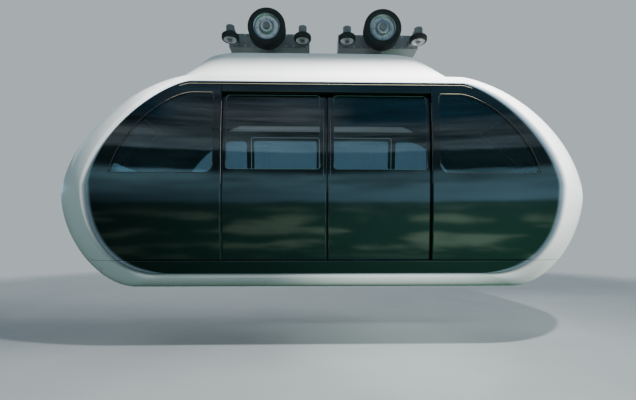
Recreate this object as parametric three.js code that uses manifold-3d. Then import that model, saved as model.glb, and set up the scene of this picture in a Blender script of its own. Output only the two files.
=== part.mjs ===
// Personal rapid transit pod: a ring-shaped white shell with black sides, hung under two rail trucks.
// Millimetres. X runs along the pod with the front at +X, Y to its left, Z up.
// The origin is on the running surface of the rail, midway between the two trucks.
import * as THREE from 'three';
import { mergeVertices } from 'three/addons/utils/BufferGeometryUtils.js';
import Module from 'manifold-3d';

const wasm = await Module();
wasm.setup();

// Driving dimensions

// Two edges of the shell seen from the side, each half flat line, half power curve:
// where the black side ends, and the outermost line of roof, nose and belly.
const sideEdge = { noseX: 2395, noseZ: -1718, topX: 1392, topZ: -637, topPower: 1.462,
  bottomX: 1606, bottomZ: -2602, bottomPower: 2.343 };
const shellEdge = { noseX: 3017, noseZ: -1809, topX: 1367, topZ: -536, topPower: 1.657,
  bottomX: 1998, bottomZ: -2750, bottomPower: 1.672 };
const quarterSteps = 10;                 // stations on each quarter of an edge

// The side walls bulge: widest at the belt, leaning in above and below it
const side = { halfWidth: 1000, beltZ: -1460, topLean: 85, topRise: 790, bottomLean: 50, bottomDrop: 1130 };
const sideThickness = 45;

// Section of the shell, from the side edge round to the outermost line
const shell = { thickness: 45, rimWidth: 48, rimDrop: 9, turnStart: 28, turnSteps: 4,
  topDepth: 125, bottomDepth: 155, noseDepth: 800 };

const fit = 0.6;                         // joint between two fixed panels
const seatGap = 0.4;                     // pane or plate to the frame that holds it
const seamZ = -2468;                     // joint between the upper body and the belly
const ringInnerY = 420;                  // inner edge of the two side arches
const roofHalfLength = 1500;

// Doors: two leaves on each side, sliding along X just inside the side panels
const door = { halfWidth: 1068, topZ: -754, clearance: 6, thickness: 40, meetGap: 2.5, overlap: 20,
  leafTopZ: -737, leafBottomZ: -2462 };
const track = { halfLength: 1650, topZ: -700, bottomZ: -736.4, inset: 58, rootDepth: 10 };
const doorWindow = { nearX: 71, farX: 1030, topZ: -768, sillZ: -1541, corner: 30 };

// Windows beside the doors end in a curve like the side edge, inside its nose by the margin
const endWindow = { nearX: 1145, margin: 198, topX: 1364, topZ: -763, topPower: 1.6, sillZ: -1586,
  corner: 90 };
const paneRecess = 2;
const paneThickness = 20;

const windshield = { halfWidth: 330, topZ: -820, bottomZ: -1500, corner: 90 };
const lamp = { halfWidth: 300, topZ: -1640, bottomZ: -1690, depth: 38 };

const floor = { halfLength: 1960, topZ: -2428, thickness: 39, bearerX: [-1500, -500, 500, 1500],
  bearerHalfX: 30, bearerHalfY: 700 };
const bench = { halfWidth: 790, frontX: 1700, backX: 2190, seatZ: -2110, backTopX: 2330, backTopZ: -1420,
  board: 40, kick: 60 };
const cushion = { halfWidth: 770, thickness: 110, corner: 28, endGap: 8 };

// Roof fairing: a slope and a round shoulder up to a flat top, steeper at the rear, with elliptic corners
const fairing = { rearBase: -1670, frontBase: 1508, rearTop: -1005, frontTop: 671, baseHalfWidth: 780,
  topHalfWidth: 559, baseZ: -585, topZ: -180, shoulder: 0.166, slopeShare: 0.532, shoulderSteps: 4,
  cornerLength: 270, cornerWidth: 120, cornerSteps: 5, thickness: 36 };

const truckX = 680;                      // king pins, ahead and behind the middle
const hanger = { plateHalfLength: 250, plateHalfWidth: 210, plateThickness: 30, bladeHalfLength: 160,
  bladeHalfWidth: 30, bladeTopZ: 92, slotMargin: 10, pinRadius: 45, pinRoot: 40, collarRadius: 67,
  collarTopZ: 124, headRadius: 95, headThickness: 28 };
const frame = { halfLength: 500, halfWidth: 115, bottomZ: 130, topZ: 300, armX: 420, armHalfWidth: 42,
  armReach: 436, armBottomZ: 152, armTopZ: 215, motorRadius: 128, motorReach: 262, pinClearance: 1.2,
  pocketMargin: 10 };
const wheel = { radius: 220, width: 140, trackY: 360, boreRadius: 29.8, spindleRadius: 29, capRadius: 42,
  capThickness: 14 };
const guide = { radius: 100, height: 64, y: 400, bottomZ: 60, boreRadius: 16.8, pinRadius: 16, capRadius: 26,
  capThickness: 14, pinRoot: 10 };

const colours = {
  whitePaint: [0xe9ecec, 0.32, 0.0], blackGloss: [0x0b0f12, 0.12, 0.0], glass: [0x141c20, 0.05, 0.0],
  darkPlastic: [0x202426, 0.55, 0.0], deck: [0x4a4d4e, 0.7, 0.0], fabric: [0x3d4a4f, 0.85, 0.0],
  steel: [0x6f757a, 0.45, 0.8], tyre: [0x151515, 0.8, 0.0], lampGlass: [0xf2f5f0, 0.1, 0.0] };

// Solids: geometry to solid and back, joined and cut

function solidOf(geometry) {
  const bare = geometry.index ? geometry.clone() : geometry;
  bare.deleteAttribute('normal');
  bare.deleteAttribute('uv');
  const merged = mergeVertices(bare, 1e-3);
  return new wasm.Manifold(new wasm.Mesh({ numProp: 3,
    vertProperties: new Float32Array(merged.attributes.position.array),
    triVerts: new Uint32Array(merged.index.array) }));
}

function geometryOf(solid) {
  const mesh = solid.getMesh();
  const geometry = new THREE.BufferGeometry();
  geometry.setAttribute('position', new THREE.BufferAttribute(mesh.vertProperties, 3));
  geometry.setIndex(new THREE.BufferAttribute(mesh.triVerts, 1));
  geometry.computeVertexNormals();
  return geometry;
}

const joined = (solids) => solids.reduce((whole, next) => whole.add(next));

// A box between two corners
function block(x, y, z) {
  const size = [x, y, z].map(([low, high]) => high - low);
  const centre = [x, y, z].map(([low, high]) => (low + high) / 2);
  return solidOf(new THREE.BoxGeometry(...size).translate(...centre));
}

// An outline of [x, z] points carried along Y
function prismAlongY(outline, yLow, yHigh) {
  const shape = new THREE.Shape(outline.map(([x, z]) => new THREE.Vector2(x, z)));
  const geometry = new THREE.ExtrudeGeometry(shape, { depth: yHigh - yLow, bevelEnabled: false });
  return solidOf(geometry.rotateX(Math.PI / 2).translate(0, yHigh, 0));
}

// An outline of [y, z] points carried along X
function prismAlongX(outline, xLow, xHigh) {
  const shape = new THREE.Shape(outline.map(([y, z]) => new THREE.Vector2(y, z)));
  const geometry = new THREE.ExtrudeGeometry(shape, { depth: xHigh - xLow, bevelEnabled: false });
  const axes = new THREE.Matrix4().makeBasis(
    new THREE.Vector3(0, 1, 0), new THREE.Vector3(0, 0, 1), new THREE.Vector3(1, 0, 0));
  return solidOf(geometry.applyMatrix4(axes).translate(xLow, 0, 0));
}

// A round bar between two heights, on the Z axis or turned onto the Y axis
function barZ(radius, zLow, zHigh, x = 0, y = 0, steps = 24) {
  const geometry = new THREE.CylinderGeometry(radius, radius, zHigh - zLow, steps).rotateX(Math.PI / 2);
  return solidOf(geometry.translate(x, y, (zLow + zHigh) / 2));
}

function barY(radius, yLow, yHigh, x, z, steps = 24) {
  const geometry = new THREE.CylinderGeometry(radius, radius, yHigh - yLow, steps);
  return solidOf(geometry.translate(x, (yLow + yHigh) / 2, z));
}

// A rectangle with round corners, as points
function roundedRectangle(aLow, aHigh, bLow, bHigh, radius, steps = 4) {
  const corners = [[aHigh - radius, bHigh - radius, 0], [aLow + radius, bHigh - radius, 90],
    [aLow + radius, bLow + radius, 180], [aHigh - radius, bLow + radius, 270]];
  return corners.flatMap(([a, b, start]) => Array.from({ length: steps + 1 }, (_, i) => {
    const angle = THREE.MathUtils.degToRad(start + 90 * i / steps);
    return [a + radius * Math.cos(angle), b + radius * Math.sin(angle)];
  }));
}

// A surface through rings of points, each ring closed. It is closed from the last ring to the first,
// or capped at both ends.
function loft(rings, capped) {
  const count = rings[0].length;
  const positions = rings.flat(2);
  const faces = [];
  const last = capped ? rings.length - 1 : rings.length;
  for (let i = 0; i < last; i += 1) {
    const here = i * count;
    const next = ((i + 1) % rings.length) * count;
    for (let j = 0; j < count; j += 1) {
      const k = (j + 1) % count;
      faces.push(here + j, here + k, next + k, here + j, next + k, next + j);
    }
  }
  if (capped) {
    for (let j = 1; j < count - 1; j += 1) {
      const top = (rings.length - 1) * count;
      faces.push(0, j + 1, j, top, top + j, top + j + 1);
    }
  }
  const geometry = new THREE.BufferGeometry();
  geometry.setAttribute('position', new THREE.BufferAttribute(new Float32Array(positions), 3));
  geometry.setIndex(faces);
  return solidOf(geometry);
}

// Body: edges, side wall and shell

// Point of an edge: 0 degrees at the end of the flat top, 90 at the nose, 180 at the flat bottom
function edgePoint(edge, degrees) {
  const upper = degrees <= 90;
  const power = 2 / (upper ? edge.topPower : edge.bottomPower);
  const startX = upper ? edge.topX : edge.bottomX;
  const startZ = upper ? edge.topZ : edge.bottomZ;
  const angle = THREE.MathUtils.degToRad(degrees);
  const along = Math.sin(angle) ** power;
  const up = Math.abs(Math.cos(angle)) ** power;
  return [startX + (edge.noseX - startX) * along, edge.noseZ + (startZ - edge.noseZ) * up];
}

const moved = (edge, out) => ({ ...edge, noseX: edge.noseX + out, topZ: edge.topZ + out,
  bottomZ: edge.bottomZ - out });

const stations = Array.from({ length: 2 * quarterSteps + 1 }, (_, i) => 90 * i / quarterSteps);

// The whole edge as [x, z] points, up the front and down the rear
function edgeOutline(edge) {
  const front = stations.map((degrees) => edgePoint(edge, degrees)).reverse();
  return [...front, ...front.map(([x, z]) => [-x, z]).reverse()];
}

function sideY(z) {
  const lean = z > side.beltZ
    ? side.topLean * ((z - side.beltZ) / side.topRise) ** 2
    : side.bottomLean * ((side.beltZ - z) / side.bottomDrop) ** 2;
  return side.halfWidth - lean;
}

// Half section of the shell at one station, as [x, y, z] from the side edge to the outermost line
function shellHalfSection(degrees, inset, hasRim) {
  const [sx, sz] = edgePoint(sideEdge, degrees);
  const [mx, mz] = edgePoint(moved(shellEdge, -inset), degrees);
  const y = sideY(sz) - inset;
  const flatDepth = degrees <= 90 ? shell.topDepth : shell.bottomDepth;
  const turn = Math.sin(THREE.MathUtils.degToRad(degrees)) ** 2;
  const endY = sideY(sz) - flatDepth - (shell.noseDepth - flatDepth) * turn;
  const points = [[sx, y, sz]];
  let start = [sx, y, sz];
  let startAngle = 0;
  if (hasRim) {
    const reach = shell.rimWidth / Math.hypot(mx - sx, mz - sz);
    start = [sx + (mx - sx) * reach, y - shell.rimDrop, sz + (mz - sz) * reach];
    startAngle = shell.turnStart;
    points.push(start);
  }
  const sine0 = Math.sin(THREE.MathUtils.degToRad(startAngle));
  const cosine0 = Math.cos(THREE.MathUtils.degToRad(startAngle));
  for (let i = 1; i <= shell.turnSteps; i += 1) {
    const angle = THREE.MathUtils.degToRad(startAngle + (90 - startAngle) * i / shell.turnSteps);
    const out = (Math.sin(angle) - sine0) / (1 - sine0);
    const inward = (cosine0 - Math.cos(angle)) / cosine0;
    points.push([start[0] + (mx - start[0]) * out, start[1] + (endY - start[1]) * inward,
      start[2] + (mz - start[2]) * out]);
  }
  return points;
}

// The full band of the shell between two insets, a closed ring round the pod
function shellBand(outerInset, innerInset) {
  const mirroredY = (points) => points.map(([x, y, z]) => [x, -y, z]).reverse();
  const ring = (degrees, toFront) => {
    const outer = shellHalfSection(degrees, outerInset, true);
    const inner = shellHalfSection(degrees, innerInset, false);
    const section = [...outer, ...mirroredY(outer), ...inner.map(([x, y, z]) => [x, -y, z]),
      ...inner.slice().reverse()];
    return section.map(([x, y, z]) => [x * toFront, y, z]);
  };
  const rings = [...stations.map((degrees) => ring(degrees, 1)),
    ...stations.slice().reverse().map((degrees) => ring(degrees, -1))];
  return loft(rings, false);
}

// A layer of the side wall between two insets from its outer face. toLeft is 1 or -1.
function sideLayer(outerInset, innerInset, toLeft) {
  const steps = 9;
  const heights = Array.from({ length: steps + 1 },
    (_, i) => sideEdge.bottomZ + (sideEdge.topZ - sideEdge.bottomZ) * i / steps);
  const outline = [...heights.map((z) => [toLeft * (sideY(z) - outerInset), z]),
    ...heights.slice().reverse().map((z) => [toLeft * (sideY(z) - innerInset), z])];
  return prismAlongX(outline, -sideEdge.noseX, sideEdge.noseX);
}

const farOut = 4000;
const above = (z) => block([-farOut, farOut], [-farOut, farOut], [z, farOut]);
const below = (z) => block([-farOut, farOut], [-farOut, farOut], [-farOut, z]);
const between = (xLow, xHigh) => block([xLow, xHigh], [-farOut, farOut], [-farOut, farOut]);

const pod = new THREE.Group();

function place(name, solid, finish, group = pod) {
  const [color, roughness, metalness] = colours[finish];
  const material = new THREE.MeshStandardMaterial({ color, roughness, metalness });
  const mesh = new THREE.Mesh(geometryOf(solid), material);
  mesh.name = name;
  group.add(mesh);
}

const ends = [{ name: 'front', sign: 1 }, { name: 'rear', sign: -1 }];
const sides = [{ name: 'left', sign: 1 }, { name: 'right', sign: -1 }];

// A span on one side of the middle, low to high whichever side it is on
const span = (sign, near, far) => (sign > 0 ? [near, far] : [-far, -near]);

// White shell: belly, two side arches, roof panel, two noses with their windshields and lamps

function addShell() {
  const band = shellBand(0, shell.thickness);
  const upper = band.intersect(above(seamZ + fit / 2));
  place('belly_tub', band.intersect(below(seamZ - fit / 2)), 'whitePaint');
  for (const { name, sign } of sides) {
    const arch = block([-farOut, farOut], span(sign, ringInnerY + fit / 2, farOut), [-farOut, farOut]);
    place(`side_arch_${name}`, upper.intersect(arch), 'whitePaint');
  }
  const middle = block([-farOut, farOut], [-ringInnerY + fit / 2, ringInnerY - fit / 2], [-farOut, farOut]);
  const centre = upper.intersect(middle);
  place('roof_panel', centre.intersect(between(-roofHalfLength, roofHalfLength)), 'whitePaint');

  const glassLayer = shellBand(paneRecess, paneRecess + paneThickness);
  const lampLayer = shellBand(paneRecess, paneRecess + lamp.depth);
  const w = windshield;
  for (const { name, sign } of ends) {
    const zone = span(sign, roofHalfLength + fit, farOut);
    const opening = (shrink) => prismAlongX(roundedRectangle(-w.halfWidth + shrink, w.halfWidth - shrink,
      w.bottomZ + shrink, w.topZ - shrink, w.corner - shrink), ...zone);
    const lampOpening = (shrink) => block(zone, [-lamp.halfWidth + shrink, lamp.halfWidth - shrink],
      [lamp.bottomZ + shrink, lamp.topZ - shrink]);
    const nose = centre.intersect(between(...zone)).subtract(opening(0)).subtract(lampOpening(0));
    place(`nose_${name}`, nose, 'whitePaint');
    place(`windshield_${name}`, glassLayer.intersect(opening(seatGap)), 'glass');
    place(`nose_lamp_${name}`, lampLayer.intersect(lampOpening(seatGap)), 'lampGlass');
  }
}

// Black sides: skirt, header with its door track, panels with windows

// The window beside the door: straight at the door, round along the side edge, flat at the sill
function endWindowOutline(sign, shrink) {
  const w = endWindow;
  const edge = { ...sideEdge, noseX: sideEdge.noseX - w.margin - shrink, topX: w.topX,
    topZ: w.topZ - shrink, topPower: w.topPower };
  const nearX = w.nearX + shrink;
  const sillZ = w.sillZ + shrink;
  const curve = stations.filter((degrees) => degrees <= 90).map((degrees) => edgePoint(edge, degrees))
    .filter(([, z]) => z > sillZ + 1);
  const [lastX] = curve[curve.length - 1];
  const corner = [0, 1, 2, 3].map((i) => THREE.MathUtils.degToRad(270 - 30 * i))
    .map((angle) => [nearX + w.corner * (1 + Math.cos(angle)), sillZ + w.corner * (1 + Math.sin(angle))]);
  const outline = [...corner, [nearX, w.topZ - shrink], ...curve, [lastX, sillZ]];
  return outline.map(([x, z]) => [sign * x, z]);
}

function addSides() {
  const prism = prismAlongY(edgeOutline(moved(sideEdge, -seatGap)), -farOut, farOut);
  const trackZone = (halfLength) => block([-halfLength, halfLength], [-farOut, farOut],
    [track.bottomZ, track.topZ]);
  const doorLine = door.halfWidth;
  for (const { name, sign } of sides) {
    const wall = sideLayer(0, sideThickness, sign).intersect(prism);
    place(`side_skirt_${name}`, wall.intersect(below(seamZ - fit / 2)), 'blackGloss');
    const upper = wall.intersect(above(seamZ + fit / 2));
    const innerInset = sideThickness + door.clearance + door.thickness;
    const header = joined([
      upper.intersect(between(-doorLine, doorLine)).intersect(above(door.topZ)),
      sideLayer(sideThickness - track.rootDepth, innerInset, sign).intersect(trackZone(doorLine)),
      sideLayer(track.inset, innerInset, sign).intersect(trackZone(track.halfLength))]);
    place(`door_header_${name}`, header, 'blackGloss');
    const glass = sideLayer(paneRecess, paneRecess + paneThickness, sign);
    for (const end of ends) {
      const zone = between(...span(end.sign, doorLine + fit, farOut));
      const opening = (shrink) => prismAlongY(endWindowOutline(end.sign, shrink), -farOut, farOut);
      place(`side_panel_${end.name}_${name}`, upper.intersect(zone).subtract(opening(0)), 'blackGloss');
      place(`side_window_${end.name}_${name}`, glass.intersect(opening(seatGap)), 'glass');
    }
  }
}

function addDoors() {
  const outer = sideThickness + door.clearance;
  const w = doorWindow;
  for (const { name, sign } of sides) {
    const layer = sideLayer(outer, outer + door.thickness, sign);
    const glass = sideLayer(outer + paneRecess, outer + paneRecess + paneThickness, sign);
    for (const end of ends) {
      const leafZone = block(span(end.sign, door.meetGap, door.halfWidth + door.overlap), [-farOut, farOut],
        [door.leafBottomZ, door.leafTopZ]);
      const [xLow, xHigh] = span(end.sign, w.nearX, w.farX);
      const opening = (shrink) => prismAlongY(roundedRectangle(xLow + shrink, xHigh - shrink,
        w.sillZ + shrink, w.topZ - shrink, w.corner - shrink), -farOut, farOut);
      place(`door_leaf_${end.name}_${name}`, layer.intersect(leafZone).subtract(opening(0)), 'blackGloss');
      place(`door_window_${end.name}_${name}`, glass.intersect(opening(seatGap)), 'glass');
    }
  }
}

// Inside: deck, benches and their cushions

function addInterior() {
  const deckHalfWidth = sideY(floor.topZ - floor.thickness) - sideThickness - door.clearance
    - door.thickness - door.clearance;
  const underside = floor.topZ - floor.thickness;
  const bellyZ = shellEdge.bottomZ + shell.thickness + seatGap;
  const bearers = floor.bearerX.map((x) => block([x - floor.bearerHalfX, x + floor.bearerHalfX],
    [-floor.bearerHalfY, floor.bearerHalfY], [bellyZ, underside + floor.thickness / 2]));
  const deck = block([-floor.halfLength, floor.halfLength], [-deckHalfWidth, deckHalfWidth],
    [underside, floor.topZ]);
  place('floor_deck', joined([deck, ...bearers]), 'deck');

  const b = bench;
  const lean = Math.atan2(b.backTopX - b.backX, b.backTopZ - b.seatZ);
  for (const { name, sign } of ends) {
    const along = (points) => points.map(([x, z]) => [sign * x, z]);
    const base = floor.topZ + seatGap;
    const profile = [[b.frontX + b.kick, base], [b.backX + b.board, base], [b.backX + b.board, b.seatZ],
      [b.backTopX + b.board, b.backTopZ], [b.backTopX, b.backTopZ], [b.backX, b.seatZ], [b.frontX, b.seatZ],
      [b.frontX, b.seatZ - b.kick]];
    place(`bench_${name}`, prismAlongY(along(profile), -b.halfWidth, b.halfWidth), 'darkPlastic');

    const seat = roundedRectangle(b.frontX, b.backX - cushion.thickness, b.seatZ + seatGap,
      b.seatZ + cushion.thickness, cushion.corner);
    place(`seat_cushion_${name}`, prismAlongY(along(seat), -cushion.halfWidth, cushion.halfWidth), 'fabric');

    const length = Math.hypot(b.backTopX - b.backX, b.backTopZ - b.seatZ);
    const pad = roundedRectangle(-cushion.thickness, -seatGap, cushion.endGap, length - cushion.endGap,
      cushion.corner);
    const leaned = pad.map(([u, v]) => [b.backX + u * Math.cos(lean) + v * Math.sin(lean),
      b.seatZ - u * Math.sin(lean) + v * Math.cos(lean)]);
    place(`back_cushion_${name}`, prismAlongY(along(leaned), -cushion.halfWidth, cushion.halfWidth), 'fabric');
  }
}

// Roof fairing and the two hangers that pass through it

// The shoulder's arc starts at the angle where it runs on from the slope
function shoulderStart() {
  const f = fairing;
  const steepness = (1 - f.shoulder) / f.slopeShare * (1 - f.slopeShare) / f.shoulder;
  return Math.asin(1 / (steepness - 1));
}

// One ring of the fairing: up the slope, and then up the shoulder from its start to its flat top
function fairingRing(slope, shoulder, inset) {
  const f = fairing;
  const start = shoulderStart();
  const angle = start + (Math.PI / 2 - start) * shoulder;
  const roundInwards = (Math.cos(start) - Math.cos(angle)) / Math.cos(start);
  const roundUpwards = (Math.sin(angle) - Math.sin(start)) / (1 - Math.sin(start));
  const inwards = f.slopeShare * slope + (1 - f.slopeShare) * roundInwards;
  const upwards = (1 - f.shoulder) * slope + f.shoulder * roundUpwards;
  const rear = f.rearBase + (f.rearTop - f.rearBase) * inwards + inset;
  const front = f.frontBase + (f.frontTop - f.frontBase) * inwards - inset;
  const halfWidth = f.baseHalfWidth + (f.topHalfWidth - f.baseHalfWidth) * inwards - inset;
  const z = f.baseZ + (f.topZ - inset - f.baseZ) * upwards;
  const corners = [{ x: front - f.cornerLength, y: 1, start: 0 }, { x: rear + f.cornerLength, y: 1, start: 90 },
    { x: rear + f.cornerLength, y: -1, start: 180 }, { x: front - f.cornerLength, y: -1, start: 270 }];
  return corners.flatMap((corner) => Array.from({ length: f.cornerSteps + 1 }, (_, i) => {
    const turn = THREE.MathUtils.degToRad(corner.start + 90 * i / f.cornerSteps);
    return [corner.x + f.cornerLength * Math.cos(turn),
      corner.y * (halfWidth - f.cornerWidth) + f.cornerWidth * Math.sin(turn), z];
  }));
}

function addRoof() {
  const f = fairing;
  const shoulderRings = Array.from({ length: f.shoulderSteps + 1 }, (_, i) => i / f.shoulderSteps);
  const form = (inset) => loft([fairingRing(0, 0, inset),
    ...shoulderRings.map((share) => fairingRing(1, share, inset))], true);
  const roof = prismAlongY(edgeOutline(moved(shellEdge, seatGap)), -farOut, farOut);
  const h = hanger;
  let cover = form(0).subtract(form(f.thickness)).subtract(roof);
  for (const { sign } of ends) {
    const x = sign * truckX;
    cover = cover.subtract(block([x - h.bladeHalfLength - h.slotMargin, x + h.bladeHalfLength + h.slotMargin],
      [-h.bladeHalfWidth - h.slotMargin, h.bladeHalfWidth + h.slotMargin], [f.topZ - 2 * f.thickness, 0]));
  }
  place('roof_fairing', cover, 'whitePaint');

  const plateZ = shellEdge.topZ + seatGap;
  for (const { name, sign } of ends) {
    const x = sign * truckX;
    const headZ = frame.topZ + seatGap;
    place(`hanger_${name}`, joined([
      block([x - h.plateHalfLength, x + h.plateHalfLength], [-h.plateHalfWidth, h.plateHalfWidth],
        [plateZ, plateZ + h.plateThickness]),
      block([x - h.bladeHalfLength, x + h.bladeHalfLength], [-h.bladeHalfWidth, h.bladeHalfWidth],
        [plateZ + h.plateThickness / 2, h.bladeTopZ]),
      barZ(h.collarRadius, h.bladeTopZ - h.pinRoot, h.collarTopZ, x),
      barZ(h.pinRadius, h.bladeTopZ - h.pinRoot, headZ + h.headThickness, x),
      barZ(h.headRadius, headZ, headZ + h.headThickness, x)]), 'steel');
  }
}

// Trucks: frame with its spindles and guide pins, running wheels, guide wheels

function truckFrame(x) {
  const t = frame;
  const g = guide;
  const capStart = wheel.trackY + wheel.width / 2 + fit;
  const capEnd = capStart + wheel.capThickness;
  const parts = [
    block([x - t.halfLength, x + t.halfLength], [-t.halfWidth, t.halfWidth], [t.bottomZ, t.topZ]),
    barY(t.motorRadius, -t.motorReach, t.motorReach, x, wheel.radius, 28),
    barY(wheel.spindleRadius, -(capStart + capEnd) / 2, (capStart + capEnd) / 2, x, wheel.radius)];
  for (const { sign } of sides) {
    parts.push(barY(wheel.capRadius, ...span(sign, capStart, capEnd), x, wheel.radius, 16));
  }
  for (const { sign } of ends) {
    const armX = x + sign * t.armX;
    parts.push(block([armX - t.armHalfWidth, armX + t.armHalfWidth], [-t.armReach, t.armReach],
      [t.armBottomZ, t.armTopZ]));
    for (const { sign: across } of sides) {
      const y = across * g.y;
      const capBottom = g.bottomZ - g.capThickness;
      parts.push(barZ(g.pinRadius, capBottom, t.armBottomZ + g.pinRoot, armX, y, 16));
      parts.push(barZ(g.capRadius, capBottom, g.bottomZ - fit, armX, y, 16));
    }
  }
  const pinBore = barZ(hanger.pinRadius + t.pinClearance, 0, t.topZ + t.pocketMargin, x);
  const motorTop = wheel.radius + t.motorRadius;
  const headPocket = barZ(hanger.headRadius + t.pocketMargin, t.topZ, motorTop + t.pocketMargin, x);
  const collarHole = barZ(hanger.collarRadius + t.pocketMargin, 0, t.bottomZ, x);
  return joined(parts).subtract(pinBore).subtract(headPocket).subtract(collarHole);
}

// A wheel turned from [radius, across] points, its axis along Z
function turned(profile, steps) {
  const points = profile.map(([radius, across]) => new THREE.Vector2(radius, across));
  const geometry = new THREE.LatheGeometry([...points, points[0].clone()], steps);
  return geometry.rotateX(Math.PI / 2);
}

function addTrucks() {
  const w = wheel;
  const half = w.width / 2;
  const tyreProfile = [[w.boreRadius, -half], [70, -half], [84, -38], [148, -38], [160, -half + 6],
    [206, -half], [w.radius, -half + 18], [w.radius, half - 18], [206, half], [160, half - 6], [148, 38],
    [84, 38], [70, half], [w.boreRadius, half]];
  const g = guide;
  const guideProfile = [[g.boreRadius, 0], [g.radius - 8, 0], [g.radius, 10], [g.radius, g.height - 10],
    [g.radius - 8, g.height], [g.boreRadius, g.height]];
  for (const end of ends) {
    const x = end.sign * truckX;
    place(`truck_frame_${end.name}`, truckFrame(x), 'steel');
    for (const { name, sign } of sides) {
      const running = turned(tyreProfile, 28).rotateX(Math.PI / 2).translate(x, sign * w.trackY, w.radius);
      place(`running_wheel_${end.name}_${name}`, solidOf(running), 'tyre');
      for (const { name: armName, sign: armSign } of [{ name: 'a', sign: 1 }, { name: 'b', sign: -1 }]) {
        const armX = x + armSign * frame.armX;
        place(`guide_wheel_${end.name}_${name}_${armName}`,
          solidOf(turned(guideProfile, 18).translate(armX, sign * g.y, g.bottomZ)), 'tyre');
      }
    }
  }
}

addShell();
addSides();
addDoors();
addInterior();
addRoof();
addTrucks();

export default pod;
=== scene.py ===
import math

import bmesh
import bpy
import numpy as np
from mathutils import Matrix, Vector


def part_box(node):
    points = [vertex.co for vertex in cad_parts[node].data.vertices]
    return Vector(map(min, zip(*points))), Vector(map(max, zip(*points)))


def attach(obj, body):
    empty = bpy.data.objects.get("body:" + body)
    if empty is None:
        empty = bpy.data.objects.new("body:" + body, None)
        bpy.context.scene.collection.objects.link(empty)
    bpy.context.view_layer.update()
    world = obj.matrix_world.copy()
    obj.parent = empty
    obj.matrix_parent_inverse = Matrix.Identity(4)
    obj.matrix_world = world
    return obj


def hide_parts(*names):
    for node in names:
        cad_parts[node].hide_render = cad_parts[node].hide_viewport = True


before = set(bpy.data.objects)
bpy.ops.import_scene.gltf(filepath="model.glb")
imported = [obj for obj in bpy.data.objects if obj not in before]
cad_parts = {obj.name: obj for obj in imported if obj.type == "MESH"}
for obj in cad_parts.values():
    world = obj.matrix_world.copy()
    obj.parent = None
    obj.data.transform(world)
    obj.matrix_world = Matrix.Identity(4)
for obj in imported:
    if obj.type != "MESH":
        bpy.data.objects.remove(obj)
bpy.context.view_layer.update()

print("frame loaded,", len(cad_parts), "nodes")

# Metres. X runs along the pod with the front at +X, Y to its left, Z up. Z is 0 under the running wheels.

# Camera, light and floor

camera = {
    "place": (-0.167, -4.555, -2.220),
    "yaw": -1.2,                 # degrees, turned a little to the right
    "focal": 355.0,              # pixels of the 636 wide image
    "width": 636.0,
    "levelRow": 236.0,           # the image row at the camera's own height
    "height": 400.0,
}


def addObject(name, data):
    made = bpy.data.objects.new(name, data)
    bpy.context.scene.collection.objects.link(made)
    return made


def addCamera():
    data = bpy.data.cameras.new("podCamera")
    data.sensor_width = 36.0
    data.lens = camera["focal"] / camera["width"] * data.sensor_width
    data.shift_y = (camera["levelRow"] - camera["height"] / 2) / camera["width"]
    data.clip_end = 200.0
    holder = addObject("podCamera", data)
    holder.location = camera["place"]
    holder.rotation_euler = (math.radians(90), 0, math.radians(camera["yaw"]))
    bpy.context.scene.camera = holder


# Puts a link, a number or a colour into a socket
def feed(tree, socket, value):
    if isinstance(value, bpy.types.NodeSocket):
        tree.links.new(value, socket)
    elif isinstance(value, tuple) and socket.type == "RGBA":
        socket.default_value = (*value, 1)
    elif value is not None:
        socket.default_value = value


# A node with its settings by name: what its sockets are fed, and its own options
def addNode(tree, kind, settings=None):
    node = tree.nodes.new(kind)
    for key, value in (settings or {}).items():
        if key in node.inputs:
            feed(tree, node.inputs[key], value)
        else:
            setattr(node, key, value)
    return node


def mathNode(tree, operation, *values, clamp=False):
    node = addNode(tree, "ShaderNodeMath", {"operation": operation, "use_clamp": clamp})
    for socket, value in zip(node.inputs, values):
        feed(tree, socket, value)
    return node.outputs["Value"]


# A slope times a value, plus an offset, held between 0 and 1
def sloped(tree, value, line):
    return mathNode(tree, "MULTIPLY_ADD", value, *line, clamp=True)


def noise(tree, vector, scale, detail=4.0):
    settings = {"Scale": scale, "Detail": detail, "Roughness": 0.5, "Vector": vector}
    return addNode(tree, "ShaderNodeTexNoise", settings).outputs["Fac"]


def stretched(tree, vector, scale):
    return addNode(tree, "ShaderNodeMapping", {"Scale": scale, "Vector": vector}).outputs["Vector"]


def stretchedNoise(tree, vector, stretch, scale, detail):
    return noise(tree, stretched(tree, vector, stretch), scale, detail)


def colourRamp(tree, factor, stops):
    ramp = addNode(tree, "ShaderNodeValToRGB", {"Fac": factor})
    elements = ramp.color_ramp.elements
    while len(elements) < len(stops):
        elements.new(0.5)
    for element, (position, colour) in zip(elements, stops):
        element.position = position
        element.color = (*colour, 1)
    return ramp.outputs["Color"]


def mixColours(tree, factor, first, second):
    mix = addNode(tree, "ShaderNodeMix", {"data_type": "RGBA"})
    for socket, value in zip((mix.inputs[0], mix.inputs[6], mix.inputs[7]), (factor, first, second)):
        feed(tree, socket, value)
    return mix.outputs[2]


# The surface becomes a mix of two shaders
def mixShaders(tree, factor, first, second):
    mix = addNode(tree, "ShaderNodeMixShader", {"Fac": factor})
    tree.links.new(first.outputs["BSDF"], mix.inputs[1])
    tree.links.new(second.outputs["BSDF"], mix.inputs[2])
    tree.links.new(mix.outputs["Shader"], tree.nodes["Material Output"].inputs["Surface"])


# Soft suns: the direction from the pod, width in degrees, strength, colour
suns = {
    "sideRight": ((0.96, -0.04, 0.28), 30.0, 9.0, (0.98, 1.0, 0.95)),
    "rimBack": ((-0.30, 0.85, 0.35), 50.0, 2.5, (0.95, 0.98, 1.0)),
    "lowLeft": ((-0.95, -0.25, -0.15), 60.0, 0.3, (0.90, 1.0, 0.95)),
}
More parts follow.
